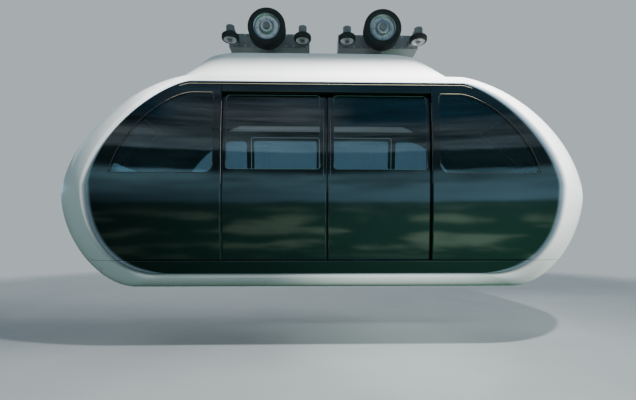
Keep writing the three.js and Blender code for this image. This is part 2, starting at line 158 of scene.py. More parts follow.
# The key is a soft box up to the right of the pod. It is nearest to the top, so the light falls off
# towards the left and below.
softBox = {"place": (1.8, -3.0, 1.5), "target": (0.0, -0.8, -0.9), "size": 0.22, "power": 780.0,
           "colour": (1.0, 0.985, 0.95)}
# Spots on the ring's upper left and on its lower rim: place, target, width in degrees, power, colour
spots = {
    "upperSpot": ((-1.7, -3.6, -0.1), (-1.66, -0.93, -0.68), 17.0, 330.0, (1.0, 0.99, 0.96)),
    "lowerSpot": ((1.1, -4.2, -0.9), (0.8, -0.95, -2.80), 42.0, 760.0, (0.88, 1.0, 0.92)),
}
spotShape = {"spot_blend": 1.0, "shadow_soft_size": 0.1}

# Colours round the pod by height: half of the sine of the height angle, plus a half
surround = {
    "gloss": [(0.00, (0.03, 0.10, 0.05)), (0.30, (0.05, 0.20, 0.11)), (0.44, (0.10, 0.42, 0.26)),
              (0.485, (0.11, 0.42, 0.28)), (0.513, (0.12, 0.36, 0.28)), (0.518, (0.53, 1.15, 1.48)),
              (0.576, (0.70, 1.40, 1.70)), (0.582, (0.05, 0.10, 0.10)), (0.636, (0.06, 0.11, 0.11)),
              (0.641, (0.55, 0.74, 0.84)), (0.720, (0.58, 0.69, 0.72)), (0.780, (0.90, 0.96, 1.00)),
              (0.840, (0.26, 0.40, 0.54)), (0.880, (0.13, 0.25, 0.42)), (1.00, (0.12, 0.20, 0.30))],
    "soft": [(0.00, (0.004, 0.014, 0.008)), (0.25, (0.020, 0.07, 0.035)), (0.46, (0.08, 0.22, 0.12)),
             (0.53, (0.50, 0.70, 0.82)), (0.70, (0.50, 0.68, 0.80)), (0.85, (0.18, 0.20, 0.22)),
             (1.00, (0.08, 0.09, 0.10))],
    "drift": ((2.2, 2.2, 13.0), 2.6, 6.0),        # each a noise by stretch, scale and detail
    "ripples": ((6.0, 6.0, 26.0), 2.4, 5.0),
    "streaks": ((1.1, 1.1, 5.0), 2.6, 3.0),
    "rippleHeight": 0.015,
    "patches": (0.86, 1.42, 1.02),
    "inPatch": (10.0, -5.05),             # slope and offset: by the drift's value
    "below": (-16.0, 0.35),               # and by height from here on
    "notLow": (14.0, 3.1),
    "high": (9.0, -3.6),
    "low": (-14.0, 1.7),
    "aboveMiddle": (9.0, -2.2),
    "justAbove": (20.0, -1.0),
    "toRight": 1.5,                       # how much brighter the gloss sees the low right than the middle
    "farRight": (-2.9, 2.2),              # slope and offset sideways
    "farLeft": (3.0, 2.1),
    "ends": (0.05, 0.15, 0.26),           # the high gloss away from its light middle
    "middleX": -0.13,
    "toEnds": 16.0,                       # how soon, by the square of the sideways direction
    "streakSwing": 3.2,                   # how much the gloss above the middle varies
    "driftSwing": 2.2,                    # and just above it
    "least": 0.15,
    "backdrop": (0.47, 0.53, 0.565),      # plain, behind the pod
}


# What gloss sees: a ramp by height with long ripples, lighter patches below the middle, and bluer and
# darker high up towards the ends
def glossColours(tree, around, height, sideways, drift):
    s = surround
    rise = s["rippleHeight"]
    shift = mathNode(tree, "MULTIPLY_ADD", stretchedNoise(tree, around, *s["ripples"]), rise, 0.5 - rise / 2)
    place = mathNode(tree, "MULTIPLY_ADD", height, 0.5, shift)
    belt = mathNode(tree, "MULTIPLY", sloped(tree, height, s["below"]), sloped(tree, height, s["notLow"]))
    mask = mathNode(tree, "MULTIPLY", sloped(tree, drift, s["inPatch"]), belt)
    seen = mixColours(tree, mask, colourRamp(tree, place, s["gloss"]), s["patches"])
    away = mathNode(tree, "SUBTRACT", sideways, s["middleX"])
    ends = mathNode(tree, "MULTIPLY", mathNode(tree, "MULTIPLY", away, away), s["toEnds"], clamp=True)
    highEnds = mathNode(tree, "MULTIPLY", ends, sloped(tree, height, s["high"]))
    return mixColours(tree, highEnds, seen, s["ends"])


# How bright gloss sees it: more to the low right and less at both far ends. Above the middle it varies
# with two noises, as far down as up.
def glossStrength(tree, around, height, sideways, drift):
    s = surround
    toRight = mathNode(tree, "MINIMUM", mathNode(tree, "MULTIPLY", sideways, s["toRight"]),
                       mathNode(tree, "MULTIPLY_ADD", sideways, *s["farRight"]))
    toRight = mathNode(tree, "MULTIPLY", toRight, sloped(tree, height, s["low"]))
    farLeft = mathNode(tree, "MINIMUM", mathNode(tree, "MULTIPLY_ADD", sideways, *s["farLeft"]), 0.0)
    change = mathNode(tree, "ADD", toRight, farLeft)
    streaks = stretchedNoise(tree, around, *s["streaks"])
    for pattern, swing, where in ((streaks, s["streakSwing"], s["aboveMiddle"]),
                                  (drift, s["driftSwing"], s["justAbove"])):
        pattern = mathNode(tree, "MULTIPLY_ADD", pattern, swing, -swing / 2)
        pattern = mathNode(tree, "MULTIPLY", pattern, sloped(tree, height, where))
        change = mathNode(tree, "ADD", change, pattern)
    return mathNode(tree, "MAXIMUM", mathNode(tree, "ADD", change, 1.0), s["least"])


# Gloss sees its own colours. Other light comes from a plain ramp, and the camera sees a plain backdrop.
def addSurround():
    s = surround
    world = bpy.data.worlds.new("studio")
    world.use_nodes = True
    tree = world.node_tree
    around = addNode(tree, "ShaderNodeTexCoord").outputs["Generated"]
    parts = addNode(tree, "ShaderNodeSeparateXYZ", {"Vector": around}).outputs
    drift = stretchedNoise(tree, around, *s["drift"])
    path = addNode(tree, "ShaderNodeLightPath").outputs
    level = mathNode(tree, "MULTIPLY_ADD", parts["Z"], 0.5, 0.5)
    gloss = glossColours(tree, around, parts["Z"], parts["X"], drift)
    seen = mixColours(tree, path["Is Glossy Ray"], colourRamp(tree, level, s["soft"]), gloss)
    seen = mixColours(tree, path["Is Camera Ray"], seen, s["backdrop"])
    change = mathNode(tree, "SUBTRACT", glossStrength(tree, around, parts["Z"], parts["X"], drift), 1.0)
    background = tree.nodes["Background"]
    feed(tree, background.inputs["Color"], seen)
    strength = mathNode(tree, "MULTIPLY_ADD", change, path["Is Glossy Ray"], 1.0)
    feed(tree, background.inputs["Strength"], strength)
    bpy.context.scene.world = world


# Gloss doesn't see the lamps themselves
def addLamp(name, kind, direction, power, colour, place=(0, 0, 0), **shape):
    data = bpy.data.lights.new(name, kind)
    data.energy = power
    data.color = colour
    for key, value in shape.items():
        setattr(data, key, value)
    lamp = addObject(name, data)
    lamp.location = place
    lamp.rotation_mode = "QUATERNION"
    lamp.rotation_quaternion = Vector(direction).to_track_quat("Z", "Y")
    lamp.visible_camera = False
    lamp.visible_glossy = False


def addLamps():
    for name, (direction, width, strength, colour) in suns.items():
        addLamp(name, "SUN", direction, strength, colour, angle=math.radians(width))
    s = softBox
    addLamp("softBox", "AREA", np.subtract(s["place"], s["target"]), s["power"], s["colour"], s["place"],
            shape="DISK", size=s["size"])
    for name, (place, target, width, power, colour) in spots.items():
        addLamp(name, "SPOT", np.subtract(place, target), power, colour, place,
                spot_size=math.radians(width), **spotShape)


# Materials

def newMaterial(name):
    made = bpy.data.materials.new(name)
    made.use_nodes = True
    tree = made.node_tree
    return made, tree, tree.nodes["Principled BSDF"]


def setSockets(tree, shader, values):
    for name, value in values.items():
        feed(tree, shader.inputs[name], value)


def objectCoordinates(tree, scale=(1, 1, 1)):
    coordinates = addNode(tree, "ShaderNodeTexCoord")
    return stretched(tree, coordinates.outputs["Object"], scale)


def blendColours(tree, factor, first, second, low=0.35, high=0.65):
    return colourRamp(tree, factor, [(low, first), (high, second)])


def spread(tree, factor, low, high):
    settings = {"To Min": low, "To Max": high, "Value": factor}
    return addNode(tree, "ShaderNodeMapRange", settings).outputs["Result"]


def bumpFrom(tree, height, strength, distance, normal=None):
    settings = {"Strength": strength, "Distance": distance, "Height": height}
    if normal is not None:
        settings["Normal"] = normal
    return addNode(tree, "ShaderNodeBump", settings).outputs["Normal"]


paint = {"bump": 0.35, "coatRoughness": 0.04, "waveStretch": (0.35, 1, 1.6), "waveScale": 1.6}


# A painted or moulded surface: two close tones in large patches, roughness that varies, fine bump
def paintMaterial(name, dark, light, roughness, metallic=0.0, coat=0.0, patch=1.3, grain=220.0,
                  grainDepth=0.00004, wave=0.0, emission=0.0):
    made, tree, shader = newMaterial(name)
    vector = objectCoordinates(tree)
    normal = bumpFrom(tree, noise(tree, vector, grain, 2.0), paint["bump"], grainDepth)
    if wave:
        slow = noise(tree, objectCoordinates(tree, paint["waveStretch"]), paint["waveScale"], 1.0)
        normal = bumpFrom(tree, slow, 1.0, wave, normal)
    setSockets(tree, shader, {
        "Base Color": blendColours(tree, noise(tree, vector, patch), dark, light),
        "Roughness": spread(tree, noise(tree, vector, patch * 4), *roughness),
        "Coat Roughness": paint["coatRoughness"],
        "Normal": normal, "Metallic": metallic, "Coat Weight": coat})
    if emission:
        setSockets(tree, shader, {"Emission Color": light, "Emission Strength": emission})
    return made


# Adds the soft change between white and black: the fade attribute s, to a power, blends in the other tone,
# and the square of 4s(1 - s) a bluish painted reflection of the sky that is strongest at the edge
def fadeInto(made, other, power=2.1, edgeTone=(0.05, 0.13, 0.20), edgeShare=0.48):
    tree = made.node_tree
    base = tree.nodes["Principled BSDF"].inputs["Base Color"]
    own = base.links[0].from_socket
    fade = addNode(tree, "ShaderNodeAttribute", {"attribute_name": "fade"}).outputs["Fac"]
    left = mathNode(tree, "SUBTRACT", 1.0, fade)
    if other[0] < 0.5:
        factor = mathNode(tree, "SUBTRACT", 1.0, mathNode(tree, "POWER", left, power))
    else:
        factor = mathNode(tree, "POWER", fade, power)
    # Painted reflection: a bluish tone of the sky in the rounded edge, mixed in where the fade is halfway
    reflectionHump = mathNode(tree, "MULTIPLY", mathNode(tree, "MULTIPLY", fade, left), 4.0)
    edge = mathNode(tree, "MULTIPLY", mathNode(tree, "POWER", reflectionHump, 2.0), edgeShare)
    tree.links.new(mixColours(tree, edge, mixColours(tree, factor, own, other), edgeTone), base)
    return made


glass = {"roughness": 0.02, "patch": 0.8, "lighter": 1.25, "waveScale": 1.1, "wave": 0.0012}


# Tinted glass: mostly a dark see-through sheet with a polished face
def glassMaterial(name, tint, clear, smoke):
    made, tree, shader = newMaterial(name)
    g = glass
    vector = objectCoordinates(tree)
    lighter = tuple(c * g["lighter"] for c in tint)
    setSockets(tree, shader, {
        "Base Color": blendColours(tree, noise(tree, vector, g["patch"], 2.0), tint, lighter),
        "Roughness": g["roughness"], "Specular IOR Level": 1.0, "Coat Weight": 1.0,
        "Coat Roughness": g["roughness"],
        "Normal": bumpFrom(tree, noise(tree, vector, g["waveScale"], 1.0), 1.0, g["wave"])})
    through = addNode(tree, "ShaderNodeBsdfTransparent", {"Color": clear})
    mixShaders(tree, smoke, through, shader)
    return made


weave = {"thread": 0.0022, "share": 0.35, "patch": 9.0, "bump": 0.5, "depth": 0.0006}


# Woven cloth: two crossed sets of threads, lighter where they rise as a painted highlight, over large soft
# patches
def clothMaterial(name, dark, light):
    made, tree, shader = newMaterial(name)
    c = weave
    vector = objectCoordinates(tree)
    waves = []
    for direction in ("X", "Y", "Z"):
        settings = {"bands_direction": direction, "Scale": 0.5 / c["thread"], "Vector": vector}
        waves.append(addNode(tree, "ShaderNodeTexWave", settings).outputs["Fac"])
    crossed = mathNode(tree, "MULTIPLY", mathNode(tree, "ADD", waves[0], waves[2]), waves[1])
    # The threads' height pattern lightens the colour too: a painted highlight on the raised threads and
    # painted shade between them
    tone = mathNode(tree, "ADD", mathNode(tree, "MULTIPLY", crossed, c["share"]),
                    mathNode(tree, "MULTIPLY", noise(tree, vector, c["patch"]), 1 - c["share"]))
    setSockets(tree, shader, {"Base Color": blendColours(tree, tone, dark, light, 0.2, 0.8),
                              "Normal": bumpFrom(tree, crossed, c["bump"], c["depth"]),
                              "Roughness": 0.88, "Sheen Weight": 0.35, "Sheen Roughness": 0.5})
    return made


whiteTone = (0.80, 0.815, 0.815)
blackTone = (0.0012, 0.0026, 0.0034)
glassTint = (0.0010, 0.0028, 0.0036)
# Each a dark and a light tone, the range of roughness, and what else differs
paints = {
    "whiteShell": ((0.77, 0.79, 0.795), whiteTone, (0.24, 0.34), {"coat": 0.25, "grainDepth": 0.00002}),
    "blackGloss": ((0.0009, 0.0020, 0.0027), blackTone, (0.04, 0.08), {"coat": 0.1, "wave": 0.0025}),
    "cabinLining": ((0.15, 0.16, 0.165), (0.19, 0.20, 0.205), (0.75, 0.9),
                    {"grain": 500.0, "grainDepth": 0.0003}),
    "rubberSeal": ((0.012, 0.012, 0.013), (0.02, 0.02, 0.021), (0.45, 0.6), {}),
    # Gold trim whose bright colour is a painted highlight, along the side's top edge and over the end windows
    "brightTrim": ((0.42, 0.36, 0.24), (0.50, 0.44, 0.31), (0.20, 0.30), {"metallic": 0.5}),
    "darkTrim": ((0.30, 0.31, 0.32), (0.36, 0.37, 0.38), (0.14, 0.24), {"metallic": 1.0}),
    # A pale trim that glows, though it is no lamp: a painted highlight along the far leaves' inner edges
    "paleTrim": ((0.62, 0.66, 0.66), (0.70, 0.74, 0.74), (0.3, 0.45), {"coat": 0.2, "emission": 0.34}),
    "darkPlastic": ((0.05, 0.055, 0.06), (0.07, 0.075, 0.08), (0.45, 0.6),
                    {"grain": 700.0, "grainDepth": 0.0002}),
    "lampLens": ((0.80, 0.82, 0.80), (0.88, 0.90, 0.88), (0.06, 0.12), {"coat": 0.6, "emission": 0.25}),
    "coveLight": ((0.56, 0.52, 0.48), (0.66, 0.62, 0.57), (0.4, 0.5), {"emission": 0.24}),
    "deckCover": ((0.09, 0.095, 0.10), (0.13, 0.135, 0.14), (0.65, 0.85),
                  {"grain": 900.0, "grainDepth": 0.0003}),
    "truckPaint": ((0.16, 0.17, 0.18), (0.22, 0.23, 0.24), (0.35, 0.55), {"patch": 3.0, "coat": 0.1}),
    "bareSteel": ((0.42, 0.43, 0.44), (0.56, 0.56, 0.56), (0.25, 0.42), {"metallic": 1.0, "patch": 6.0}),
    "tyreRubber": ((0.016, 0.016, 0.016), (0.030, 0.029, 0.028), (0.7, 0.9),
                   {"patch": 12.0, "grain": 600.0, "grainDepth": 0.0003}),
    "stagePale": ((0.185, 0.205, 0.215), (0.20, 0.22, 0.23), (0.6, 0.8), {}),
}
finishes = {name: paintMaterial(name, *tones, **extra) for name, (*tones, extra) in paints.items()}
# Each fades into the other at the side edge, with a bluish painted reflection where they meet
fadeInto(finishes["whiteShell"], blackTone)
fadeInto(finishes["blackGloss"], whiteTone)
finishes["tintedGlass"] = glassMaterial("tintedGlass", glassTint, (0.76, 0.92, 1.0), 0.34)
finishes["darkGlass"] = glassMaterial("darkGlass", glassTint, (0.30, 0.36, 0.38), 0.70)
finishes["seatCloth"] = clothMaterial("seatCloth", (0.09, 0.125, 0.15), (0.19, 0.24, 0.27))

stageFloor = {"z": -3.45, "middleY": 3.0, "halfX": 11.0, "halfY": 8.0, "fadeStart": 0.72,
              "overhang": 1.02, "sides": 48}


# The floor's sheet turns see-through towards its round rim, so that it ends without a line
def addStage():
    s = stageFloor
    tree = finishes["stagePale"].node_tree
    place = addNode(tree, "ShaderNodeTexCoord").outputs["Object"]
    shifted = addNode(tree, "ShaderNodeMapping", {"Location": (0, -s["middleY"] / s["halfY"], 0),
                                                  "Scale": (1 / s["halfX"], 1 / s["halfY"], 0),
                                                  "Vector": place}).outputs["Vector"]
    length = addNode(tree, "ShaderNodeVectorMath", {"operation": "LENGTH"})
    tree.links.new(shifted, length.inputs[0])
    fade = addNode(tree, "ShaderNodeMapRange", {"interpolation_type": "SMOOTHSTEP",
                                                "From Min": s["fadeStart"], "From Max": 1.0,
                                                "Value": length.outputs["Value"]}).outputs["Result"]
    mixShaders(tree, fade, tree.nodes["Principled BSDF"], addNode(tree, "ShaderNodeBsdfTransparent"))
    radius = np.linspace(0, s["overhang"], 5)[:, None]
    angle = np.linspace(0, 2 * math.pi, s["sides"], endpoint=False)[None, :]
    points = np.stack([s["halfX"] * radius * np.cos(angle),
                       s["middleY"] + s["halfY"] * radius * np.sin(angle),
                       s["z"] + 0 * radius * angle], -1)
    faces = gridFaces(*points.shape[:2], False, True)
    floor = newPiece("stageFloor", [(points, faces, "stagePale")])
    floor.visible_diffuse = False      # its light isn't thrown up at the pod, nor seen in the gloss
    floor.visible_glossy = False


# Two flags: one over the pod keeps the key lamp off its roof, one beside the roof the sun from the right.
# Each is the corners of an upright or level card.
flags = {
    "shadeFlagTop": ((-3.6, -1.845, 0.560), (3.6, -1.845, 0.560), (-3.6, 0.30, 0.560), (3.6, 0.30, 0.560)),
    "shadeFlagRight": ((2.15, -0.95, 0.02), (2.15, 1.00, 0.02), (2.15, -0.95, 1.10), (2.15, 1.00, 1.10)),
}


# Nothing but lamp light meets the flags
def addFlags():
    for name, corners in flags.items():
        flag = newPiece(name, [(np.array(corners), gridFaces(2, 2), "rubberSeal")])
        for kind in ("camera", "diffuse", "glossy", "transmission", "volume_scatter"):
            setattr(flag, f"visible_{kind}", False)


# Meshes from numpy grids

def gridFaces(rows, columns, closeRows=False, closeColumns=False):
    i = np.arange(rows if closeRows else rows - 1)[:, None]
    j = np.arange(columns if closeColumns else columns - 1)[None, :]
    nextI = (i + 1) % rows
    nextJ = (j + 1) % columns
    corners = (i * columns + j, i * columns + nextJ, nextI * columns + nextJ, nextI * columns + j)
    return np.stack([c + 0 * (i + j) for c in corners], -1).reshape(-1, 4)


# Turns the faces of a closed form outwards. Its signed volume is a third of the sum of each face's middle
# dotted with its area vector.
def pointedOut(points, faces):
    a, b, c, d = (points[faces[:, k]] for k in range(4))
    middle = (a + b + c + d) / 4 - points.mean(0)
    area = np.cross(c - a, d - b) / 2
    return faces if np.sum(middle * area) > 0 else faces[:, ::-1]


# One mesh from parts, each a closed surface of points and four-cornered faces with its finish.
# A part may name a second finish and the face it starts at.
def newPiece(name, parts, sharp=38.0):
    allPoints, allFaces, allFinish, names = [], [], [], []
    count = 0
    for points, faces, finish, *inside in parts:
        points = np.asarray(points, float).reshape(-1, 3)
        faces = pointedOut(points, np.asarray(faces))
        spans = [(0, finish)] + ([inside] if inside else [])
        index = np.zeros(len(faces), np.int32)
        for start, wanted in spans:
            if wanted not in names:
                names.append(wanted)
            index[start:] = names.index(wanted)
        allPoints.append(points)
        allFaces.append(faces + count)
        allFinish.append(index)
        count += len(points)
    points = np.concatenate(allPoints)
    faces = np.concatenate(allFaces)
    mesh = bpy.data.meshes.new(name)
    mesh.vertices.add(len(points))
    mesh.vertices.foreach_set("co", points.astype(np.float32).ravel())
    mesh.loops.add(faces.size)
    mesh.loops.foreach_set("vertex_index", faces.astype(np.int32).ravel())
    mesh.polygons.add(len(faces))
    mesh.polygons.foreach_set("loop_start", np.arange(0, faces.size, 4, dtype=np.int32))
    for wanted in names:
        mesh.materials.append(finishes[wanted])
    mesh.polygons.foreach_set("material_index", np.concatenate(allFinish))
    mesh.update(calc_edges=True)
    piece = addObject(name, mesh)
    tidyMesh(piece)
    smoothPiece(piece, sharp)
    return piece


def readPoints(mesh):
    co = np.zeros(len(mesh.vertices) * 3, np.float32)
    mesh.vertices.foreach_get("co", co)
    return co.reshape(-1, 3).astype(float)


# Merges points that fall together and drops faces with no area
def tidyMesh(piece, distance=1e-5):
    work = bmesh.new()
    work.from_mesh(piece.data)
    bmesh.ops.remove_doubles(work, verts=work.verts, dist=distance)
    bmesh.ops.dissolve_degenerate(work, edges=work.edges, dist=distance)
    work.to_mesh(piece.data)
    work.free()
    piece.data.validate()


def smoothPiece(piece, sharp=38.0):
    piece.data.shade_smooth()
    piece.data.set_sharp_from_angle(angle=math.radians(sharp))


# A slab between two grids of the same size: both faces and the four edges. The inner face may have
# its own finish.
def slabPart(outer, inner, finish, insideFinish=None):
    rows, columns = outer.shape[:2]
    count = rows * columns
    front = gridFaces(rows, columns)
    index = np.arange(count).reshape(rows, columns)
    rim = np.concatenate([index[0, :-1], index[:-1, -1], index[-1, :0:-1], index[:0:-1, 0]])
    following = np.roll(rim, -1)
    walls = np.stack([following, rim, rim + count, following + count], -1)
    faces = np.concatenate([front, walls, front[:, ::-1] + count])
    points = np.concatenate([outer.reshape(-1, 3), inner.reshape(-1, 3)])
    inside = [len(front) + len(walls), insideFinish] if insideFinish else []
    return (points, faces, finish, *inside)


def slabPiece(name, outer, inner, finish, insideFinish=None, sharp=38.0):
    return newPiece(name, [slabPart(outer, inner, finish, insideFinish)], sharp)


def applied(piece, modifier):
    graph = bpy.context.evaluated_depsgraph_get()
    mesh = bpy.data.meshes.new_from_object(piece.evaluated_get(graph))
    piece.modifiers.remove(modifier)
    old = piece.data
    piece.data = mesh
    bpy.data.meshes.remove(old)


# Cuts a piece with a prism, or keeps only what is inside it
def cutWith(piece, cutter, keep=False):
    modifier = piece.modifiers.new("cut", "BOOLEAN")
    modifier.operation = "INTERSECT" if keep else "DIFFERENCE"
    modifier.solver = "EXACT"
    modifier.object = cutter
    applied(piece, modifier)
    bpy.data.objects.remove(cutter)
    smoothPiece(piece)


# A prism: an outline of (a, b) points carried from low to high along one axis
def prism(outline, axis, low, high):
    outline = np.asarray(outline, float)
    points = np.concatenate([np.insert(outline, axis, level, axis=1) for level in (low, high)])
    count = len(outline)
    work = bmesh.new()
    verts = [work.verts.new(p) for p in points]
    work.faces.new(verts[:count])
    work.faces.new(verts[count:][::-1])
    for k in range(count):
        m = (k + 1) % count
        work.faces.new((verts[k], verts[count + k], verts[count + m], verts[m]))
    bmesh.ops.recalc_face_normals(work, faces=work.faces)
    mesh = bpy.data.meshes.new("prism")
    work.to_mesh(mesh)
    work.free()
    return addObject("prism", mesh)


# Each corner sharper than the limit becomes a quadratic curve between two points on its sides.
# A point on the axis of a turned shape (first value 0) is kept when keepAxis is set.
def roundCorners(outline, radius, limit=25.0, steps=7, keepAxis=False):
    outline = np.asarray(outline, float)
    before = np.roll(outline, 1, axis=0) - outline
    after = np.roll(outline, -1, axis=0) - outline
    cosine = np.sum(before * after, 1) / (np.linalg.norm(before, axis=1) * np.linalg.norm(after, axis=1))
    turn = 180 - np.degrees(np.arccos(np.clip(cosine, -1, 1)))
    if keepAxis:
        turn[outline[:, 0] < 1e-6] = 0
    t = np.linspace(0, 1, steps)[:, None]
    rounded = []
    for point, back, forth, angle in zip(outline, before, after, turn):
        if angle < limit:
            rounded.append(point[None])
            continue
        reach = min(radius, 0.49 * np.linalg.norm(back), 0.49 * np.linalg.norm(forth))
        start = point + back / np.linalg.norm(back) * reach
        end = point + forth / np.linalg.norm(forth) * reach
        rounded.append((1 - t) ** 2 * start + 2 * t * (1 - t) * point + t ** 2 * end)
    return np.concatenate(rounded)


# A closed band carried along a loop of points: each section point is placed by the loop's side
# direction and by its normal
def bandPart(loop, normals, section, finish):
    loop = np.asarray(loop, float)
    tangent = np.roll(loop, -1, axis=0) - np.roll(loop, 1, axis=0)
    tangent /= np.linalg.norm(tangent, axis=1)[:, None]
    aside = np.cross(tangent, normals)
    aside /= np.linalg.norm(aside, axis=1)[:, None]
    section = np.asarray(section, float)
    points = (loop[:, None] + aside[:, None] * section[None, :, :1] + normals[:, None] * section[None, :, 1:])
    return points, gridFaces(*points.shape[:2], True, True), finish


def circleSection(radiusAside, radiusUp, steps=10):
    angle = np.linspace(0, 2 * math.pi, steps, endpoint=False)
    return np.stack([radiusAside * np.cos(angle), radiusUp * np.sin(angle)], -1)


# A box with round edges: the directions of a sphere, each eighth of them moved out to its corner
def boxPart(low, high, radius, finish, steps=3):
    low, high = np.asarray(low, float), np.asarray(high, float)
    middle = (low + high) / 2
    half = (high - low) / 2 - radius
    quarter = np.linspace(0, 90, steps + 1)
    around = np.radians(np.concatenate([quarter + 90 * k for k in range(4)]))[None, :]
    upward = np.radians(np.concatenate([quarter - 90, quarter]))[:, None]
    direction = np.stack([np.cos(upward) * np.cos(around), np.cos(upward) * np.sin(around),
                          np.sin(upward) + 0 * around], -1)
    corner = np.stack([np.repeat([1, -1, -1, 1], steps + 1) + 0 * upward,
                       np.repeat([1, 1, -1, -1], steps + 1) + 0 * upward,
                       np.repeat([-1, 1], steps + 1)[:, None] + 0 * around], -1)
    points = middle + radius * direction + half * corner
    pole = np.broadcast_to(middle, points[:1].shape).copy()
    rise = np.array([0, 0, half[2] + radius])
    points = np.concatenate([pole - rise, points, pole + rise])
    return points.reshape(-1, 3), gridFaces(*points.shape[:2], False, True), finish


# Points from three arrays, the first of them along an axis
def onAxis(axis, along, a, b):
    return np.stack({"x": [along, a, b], "y": [a, along, b], "z": [a, b, along]}[axis], -1)


# A profile of [radius, along] turned about an axis through a centre. It closes on itself, or starts
# and ends on the axis.
def turnedPart(profile, centre, axis, finish, steps=48):
    profile = np.asarray(profile, float)
    angle = np.linspace(0, 2 * math.pi, steps, endpoint=False)[None, :]
    points = onAxis(axis, profile[:, 1:] + 0 * angle, profile[:, :1] * np.cos(angle),
                    profile[:, :1] * np.sin(angle))
    closed = profile[0, 0] > 1e-6
    return points + np.asarray(centre, float), gridFaces(*points.shape[:2], closed, True), finish


# Places in a ring round an axis
def ringPlaces(centre, axis, radius, count, start=0.0):
    angle = math.radians(start) + np.arange(count) * 2 * math.pi / count
    return np.asarray(centre, float) + onAxis(axis, 0 * angle, radius * np.cos(angle), radius * np.sin(angle))


# Six-sided bolt heads with a chamfer that stand along an axis, one at each place
def boltsPart(size, axis, toward, places):
    radius, height = size
    profile = np.array([[0, 0], [radius, 0], [radius, 0.75 * height], [0.82 * radius, height], [0, height]])
    points, faces, finish = turnedPart(profile * (1, toward), (0, 0, 0), axis, "bareSteel", 6)
    points = points.reshape(-1, 3)
    places = np.asarray(places, float).reshape(-1, 1, 3)
    shifts = np.arange(len(places))[:, None, None] * len(points)
    faces = pointedOut(points, faces)[None] + shifts
    return (points + places).reshape(-1, 3), faces.reshape(-1, 4), finish


# A turned form with its corners rounded, from its foot to its top
def postPart(radius, foot, top, centre, finish, corner, steps=48):
    outline = [[0, foot], [radius, foot], [radius, top], [0, top]]
    return turnedPart(roundCorners(outline, corner, keepAxis=True), centre, "z", finish, steps)


flatAngle, sharpAngle = math.radians(1), math.radians(40)


# A copy of a CAD node's solid: corners merged, flat faces joined, outer edges given a small round
def dressedCopy(node, name, finish, width, segments=2):
    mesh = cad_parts[node].data.copy()
    work = bmesh.new()
    work.from_mesh(mesh)
    bmesh.ops.remove_doubles(work, verts=work.verts, dist=1e-5)
    bmesh.ops.dissolve_limit(work, angle_limit=flatAngle, verts=work.verts, edges=work.edges)
    weight = work.edges.layers.float.new("bevel_weight_edge")
    for edge in work.edges:
        edge[weight] = float(edge.is_manifold and edge.calc_face_angle_signed() > sharpAngle)
    work.to_mesh(mesh)
    work.free()
    mesh.materials.clear()
    mesh.materials.append(finishes[finish])
    piece = addObject(name, mesh)
    bevel = piece.modifiers.new("roundEdge", "BEVEL")
    bevel.width = width
    bevel.segments = segments
    bevel.limit_method = "WEIGHT"
    applied(piece, bevel)
    smoothPiece(piece)
    return piece


# Mirrors a piece's copy through the middle plane across X or Y
def mirroredCopy(piece, name, axis):
    mesh = piece.data.copy()
    mirror = np.eye(4)
    mirror[axis, axis] = -1
    mesh.transform(Matrix(mirror.tolist()))
    mesh.flip_normals()
    return addObject(name, mesh)


# The piece moves with a body and stands for a CAD node, which it hides
def install(piece, body, node=None):
    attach(piece, body)
    if node:
        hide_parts(node)


# A piece and its mirrored copy on the cabin. Each name ends in its own word, and so does its node's.
def installPair(piece, word, other, axis, node=None):
    copy = mirroredCopy(piece, piece.name.replace(word, other), axis)
    for made, ending in ((piece, word), (copy, other)):
        install(made, "cabin", node and f"{node}_{ending.lower()}")
    return piece, copy


# Body form

sideEdge = {"noseX": 2.395, "noseZ": -1.718, "topX": 1.392, "topZ": -0.637, "topPower": 1.462,
            "bottomX": 1.606, "bottomZ": -2.602, "bottomPower": 2.343}
shellEdge = {"noseX": 3.017, "noseZ": -1.809, "topX": 1.367, "topZ": -0.536, "topPower": 1.657,
             "bottomX": 1.998, "bottomZ": -2.750, "bottomPower": 1.672}
side = {"halfWidth": 1.0, "beltZ": -1.460, "topLean": 0.085, "topRise": 0.790, "bottomLean": 0.050,
        "bottomDrop": 1.130, "thickness": 0.045, "cut": (-1.2, -0.7)}
shell = {"thickness": 0.045, "rimWidth": 0.060, "lowRimWidth": 0.034, "rimDrop": 0.009, "turnStart": 28.0,
         "topDepth": 0.125, "bottomDepth": 0.155, "noseDepth": 0.800}
seamZ = -2.468
panelGap = 0.0035
archInnerY = 0.420
roofHalfLength = 1.500


def moved(edge, out):
    return {**edge, "noseX": edge["noseX"] + out, "topZ": edge["topZ"] + out,
            "bottomZ": edge["bottomZ"] - out}


# Power curve: x goes from the flat's end to the nose as sine to the power 2/n of the turn, and z from
# the flat to the nose's height as cosine to the same power. 0 degrees is the top, 180 the bottom.
def edgePoint(edge, turn):
    turn = np.asarray(turn, float)
    upper = turn <= 90
    power = 2 / np.where(upper, edge["topPower"], edge["bottomPower"])
    startX = np.where(upper, edge["topX"], edge["bottomX"])
    startZ = np.where(upper, edge["topZ"], edge["bottomZ"])
    along = np.abs(np.sin(np.radians(turn))) ** power
    up = np.abs(np.cos(np.radians(turn))) ** power
    return startX + (edge["noseX"] - startX) * along, edge["noseZ"] + (startZ - edge["noseZ"]) * up


# Half width: parabolas leaning in above and below the belt
def sideY(z):
    z = np.asarray(z, float)
    above = side["topLean"] * ((z - side["beltZ"]) / side["topRise"]) ** 2
    below = side["bottomLean"] * ((side["beltZ"] - z) / side["bottomDrop"]) ** 2
    return side["halfWidth"] - np.where(z > side["beltZ"], above, below)


